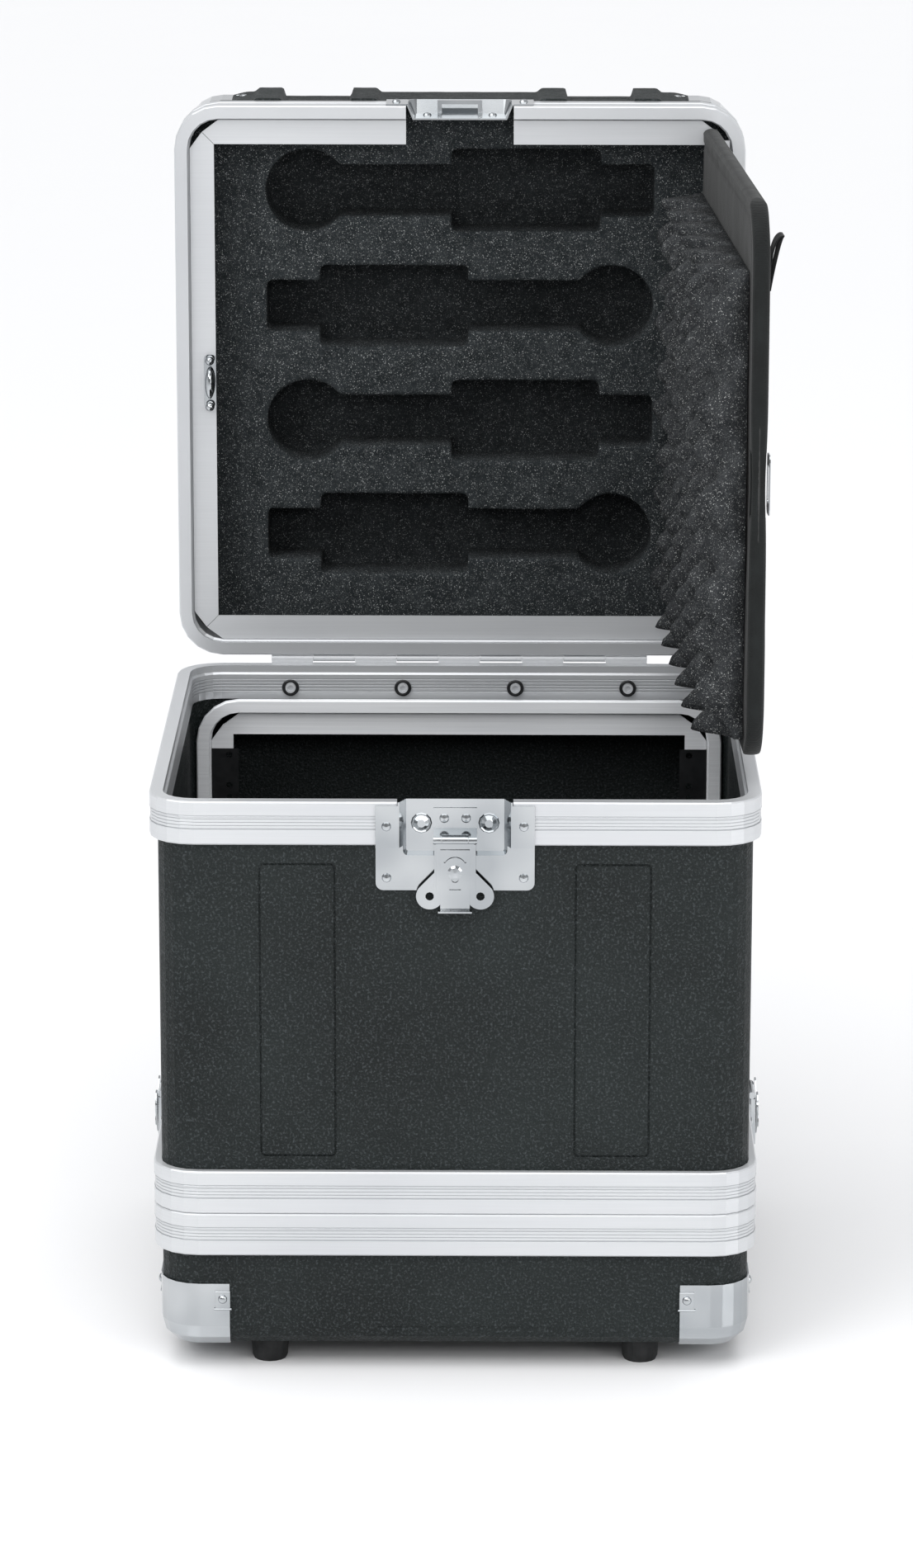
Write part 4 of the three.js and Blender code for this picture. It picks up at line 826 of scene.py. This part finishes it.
def lid_shoulders(finish):
    """The lid's upper wall: a low swell across it, open at the panels, with a raised pad beside each."""
    columns, rows = 220, 30
    wall = box("lid_shell")[1].z

    def lift(x, y):
        gap = min(max(low - x, x - high) for low, high in top_panels)
        pad = pad_rise * faded(pad_width - gap, pad_fade)
        ends = faded(swell_half_width - abs(x), swell_side_fade) * faded(swell_back - y, swell_back_fade)
        return (swell_rise + pad) * faded(gap, panel_fade) * ends

    def place(c, r):
        return (-swell_half_width + 2 * swell_half_width * c / columns,
                swell_front + (swell_back - swell_front) * r / rows)

    def top(c, r):
        x, y = place(c, r)
        grain = noise.noise(Vector((x * swell_grain_scale, y * swell_grain_scale, 1.0)))
        return (x, y, wall + lift(x, y) - swell_sunk + swell_grain_depth * grain)

    def foot(c, r):
        return (*place(c, r), wall - swell_foot)
    piece = mesh_piece("lid_top_shoulders", *closed_grid(columns, rows, top, foot), finish)
    facing_out(piece)
    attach(piece, "lid")


# Finishes, and the softened edge of the pieces that keep their own shape
plastic = moulded_plastic()
aluminium = satin_aluminium("satin aluminium", 0.2)
body_edging = satin_aluminium("reeded aluminium", 0.42, upright_reeds)
lid_edging = satin_aluminium("reeded lid aluminium", 0.42, lid_reeds, "Y")
# Painted light: the rack bay's aluminium is a copy painted lighter, standing in for light that its inside faces
# lack
painted_light_bay_edging = satin_aluminium("rack bay aluminium painted lighter", 0.1, tone=240)
plate = plated_steel()
black = black_steel()
cut_foam = flecked_foam("cut foam", linear(34, 38, 40), linear(50, 54, 56), linear(172, 175, 175),
                        painted_pocket_shade_span)
crate_foam = flecked_foam("egg crate foam", linear(36, 38, 40), linear(56, 58, 60), linear(170, 172, 171))
cloth = woven_cloth()
rubber = foot_rubber()
finish_of_slot = {
    "moulded_shell": plastic,
    "aluminium_edging": aluminium,
    "plated_hardware": plate,
    "black_steel": black,
    "foot_rubber": rubber,
}
edge_of_slot = {
    "moulded_shell": 0.0012,
    "aluminium_edging": 0.00035,
    "plated_hardware": 0.00035,
    "black_steel": 0.0003,
    "foot_rubber": 0.0009,
}
edge_steps = 2
sharp_from_degrees = 32


def finish_of(name, slot):
    """The finish of a CAD piece: its slot's, another aluminium on the valances, or in the rack bay a copy of the
    aluminium painted lighter to stand in for light.
    """
    if "valance" in name:
        return lid_edging if name == "lid_valance" else body_edging
    if slot == "aluminium_edging" and name.startswith("rack_"):
        return painted_light_bay_edging
    return finish_of_slot[slot]


def dress(name, slot):
    """A CAD piece keeps its mesh and gets its finish and a small softened edge."""
    piece = nodes[name]
    finish = finish_of(name, slot)
    if not piece.material_slots:
        piece.data.materials.append(finish.material)
    for place in piece.material_slots:
        place.material = finish.material
    edge = piece.modifiers.new("edge", "BEVEL")
    edge.width = edge_of_slot[slot]
    edge.segments = edge_steps
    edge.limit_method = "ANGLE"
    edge.angle_limit = math.radians(sharp_from_degrees)
    edge.harden_normals = True
    for polygon in piece.data.polygons:
        polygon.use_smooth = True


for entry in frame["record"]["subparts"]:
    if entry["material_slot"] in finish_of_slot:
        dress(entry["node"], entry["material_slot"])

flap_foam(crate_foam)
flap_cloth(cloth)
lid_foam(cut_foam)
pull_tab(cloth)
lid_places = corner_tab_places("lid", end=2, rim=1, below_rim=0.0153)
low_places = corner_tab_places("bottom_lid", end=1, rim=2, below_rim=0.0155)
corner_tabs("lid_corner_tabs", lid_places, "lid", plate)
corner_tabs("bottom_corner_tabs", low_places, "bottom_lid", plate)
bolt_washers(black)
turn_button_fittings(plate)
lid_shoulders(plastic)


# Studio: a wide pale floor, an even overhead light, soft boxes and a surround
floor_reach = 60
light_aim = (0, 0, 0.5)


def studio_floor(reach):
    """A smooth, slightly glossy floor that runs far past the view."""
    points = [(-reach, -reach, 0), (reach, -reach, 0), (reach, reach, 0), (-reach, reach, 0)]
    ground = Finish("studio floor", linear(247, 247, 248), roughness=0.2, specular=0.4)
    ground.roughness(ground.ramp(ground.noise(3, detail=1), (0.3, 0.7), gives=(0.2, 0.204)))
    mesh_piece("studio_floor", points, [(0, 1, 2, 3)], ground, smooth=False)


def lamp_of(light):
    """Hangs a light in the scene."""
    lamp = bpy.data.objects.new(light.name, light)
    bpy.context.scene.collection.objects.link(lamp)
    return lamp


def overhead(strength, spread_degrees, tilt_degrees):
    """Light that is as strong on the far floor as on the case."""
    light = bpy.data.lights.new("overhead", "SUN")
    light.energy = strength
    light.angle = math.radians(spread_degrees)
    lamp_of(light).rotation_euler = [math.radians(tilt) for tilt in tilt_degrees]


def soft_box(name, place, aim, width, height, power):
    """A rectangular lamp at a place, turned to what it aims at."""
    light = bpy.data.lights.new(name, "AREA")
    light.shape = "RECTANGLE"
    light.size = width
    light.size_y = height
    light.energy = power
    lamp = lamp_of(light)
    lamp.location = place
    lamp.rotation_euler = (Vector(aim) - Vector(place)).to_track_quat("-Z", "Y").to_euler()


def surround(level_strength, top_strength, front_share):
    """Even light from the sides, another strength above and a darker room in front."""
    rise_span = (0.0, 0.25)
    front_span = (-0.95, -0.5)
    world = bpy.data.worlds.new("studio")
    world.use_nodes = True
    bpy.context.scene.world = world
    tree = world.node_tree
    backdrop = tree.nodes["Background"]
    backdrop.inputs["Color"].default_value = linear(250, 251, 253)
    place = tree.nodes.new("ShaderNodeTexCoord")
    parts = tree.nodes.new("ShaderNodeSeparateXYZ")
    tree.links.new(place.outputs["Generated"], parts.inputs["Vector"])
    rise = map_range(tree, parts.outputs["Z"], rise_span, (level_strength, top_strength))
    depth = map_range(tree, parts.outputs["Y"], front_span, (front_share, 1.0))
    shade = tree.nodes.new("ShaderNodeMath")
    shade.operation = "MULTIPLY"
    tree.links.new(rise, shade.inputs[0])
    tree.links.new(depth, shade.inputs[1])
    tree.links.new(shade.outputs["Value"], backdrop.inputs["Strength"])


# The camera, fitted to the photo: its lens, its place, and how far it looks down, to the left and rolls
photo_height_px = 1900
focal_length_px = 6683.5
sensor_height_mm = 36
camera_place = (0.0353, -5.2277, 1.8342)
look_down_degrees = 14.506
look_left_degrees = 0.4
roll_degrees = 0.057


def camera():
    """A camera placed and turned as the photo's was."""
    eye = bpy.data.cameras.new("photo_camera")
    eye.sensor_fit = "VERTICAL"
    eye.sensor_height = sensor_height_mm
    eye.lens = focal_length_px / photo_height_px * sensor_height_mm
    eye.clip_end = floor_reach
    holder = bpy.data.objects.new("photo_camera", eye)
    bpy.context.scene.collection.objects.link(holder)
    holder.location = camera_place
    left = Matrix.Rotation(math.radians(look_left_degrees), 4, "Z")
    down = Matrix.Rotation(math.radians(90 - look_down_degrees), 4, "X")
    roll = Matrix.Rotation(math.radians(roll_degrees), 4, "Z")
    holder.rotation_euler = (left @ down @ roll).to_euler()
    bpy.context.scene.camera = holder


studio_floor(floor_reach)
overhead(strength=2.0, spread_degrees=70, tilt_degrees=(14, -8, 0))
soft_box("key", (-2.4, -3.4, 3.2), light_aim, width=2.0, height=1.6, power=52)
soft_box("fill", (2.8, -2.8, 1.6), light_aim, width=1.6, height=2.2, power=34)
soft_box("front", (0.5, -5.0, 2.6), light_aim, width=2.0, height=1.0, power=48)
surround(level_strength=1.0, top_strength=0.62, front_share=0.42)
camera()
bpy.context.scene.view_settings.view_transform = "Standard"
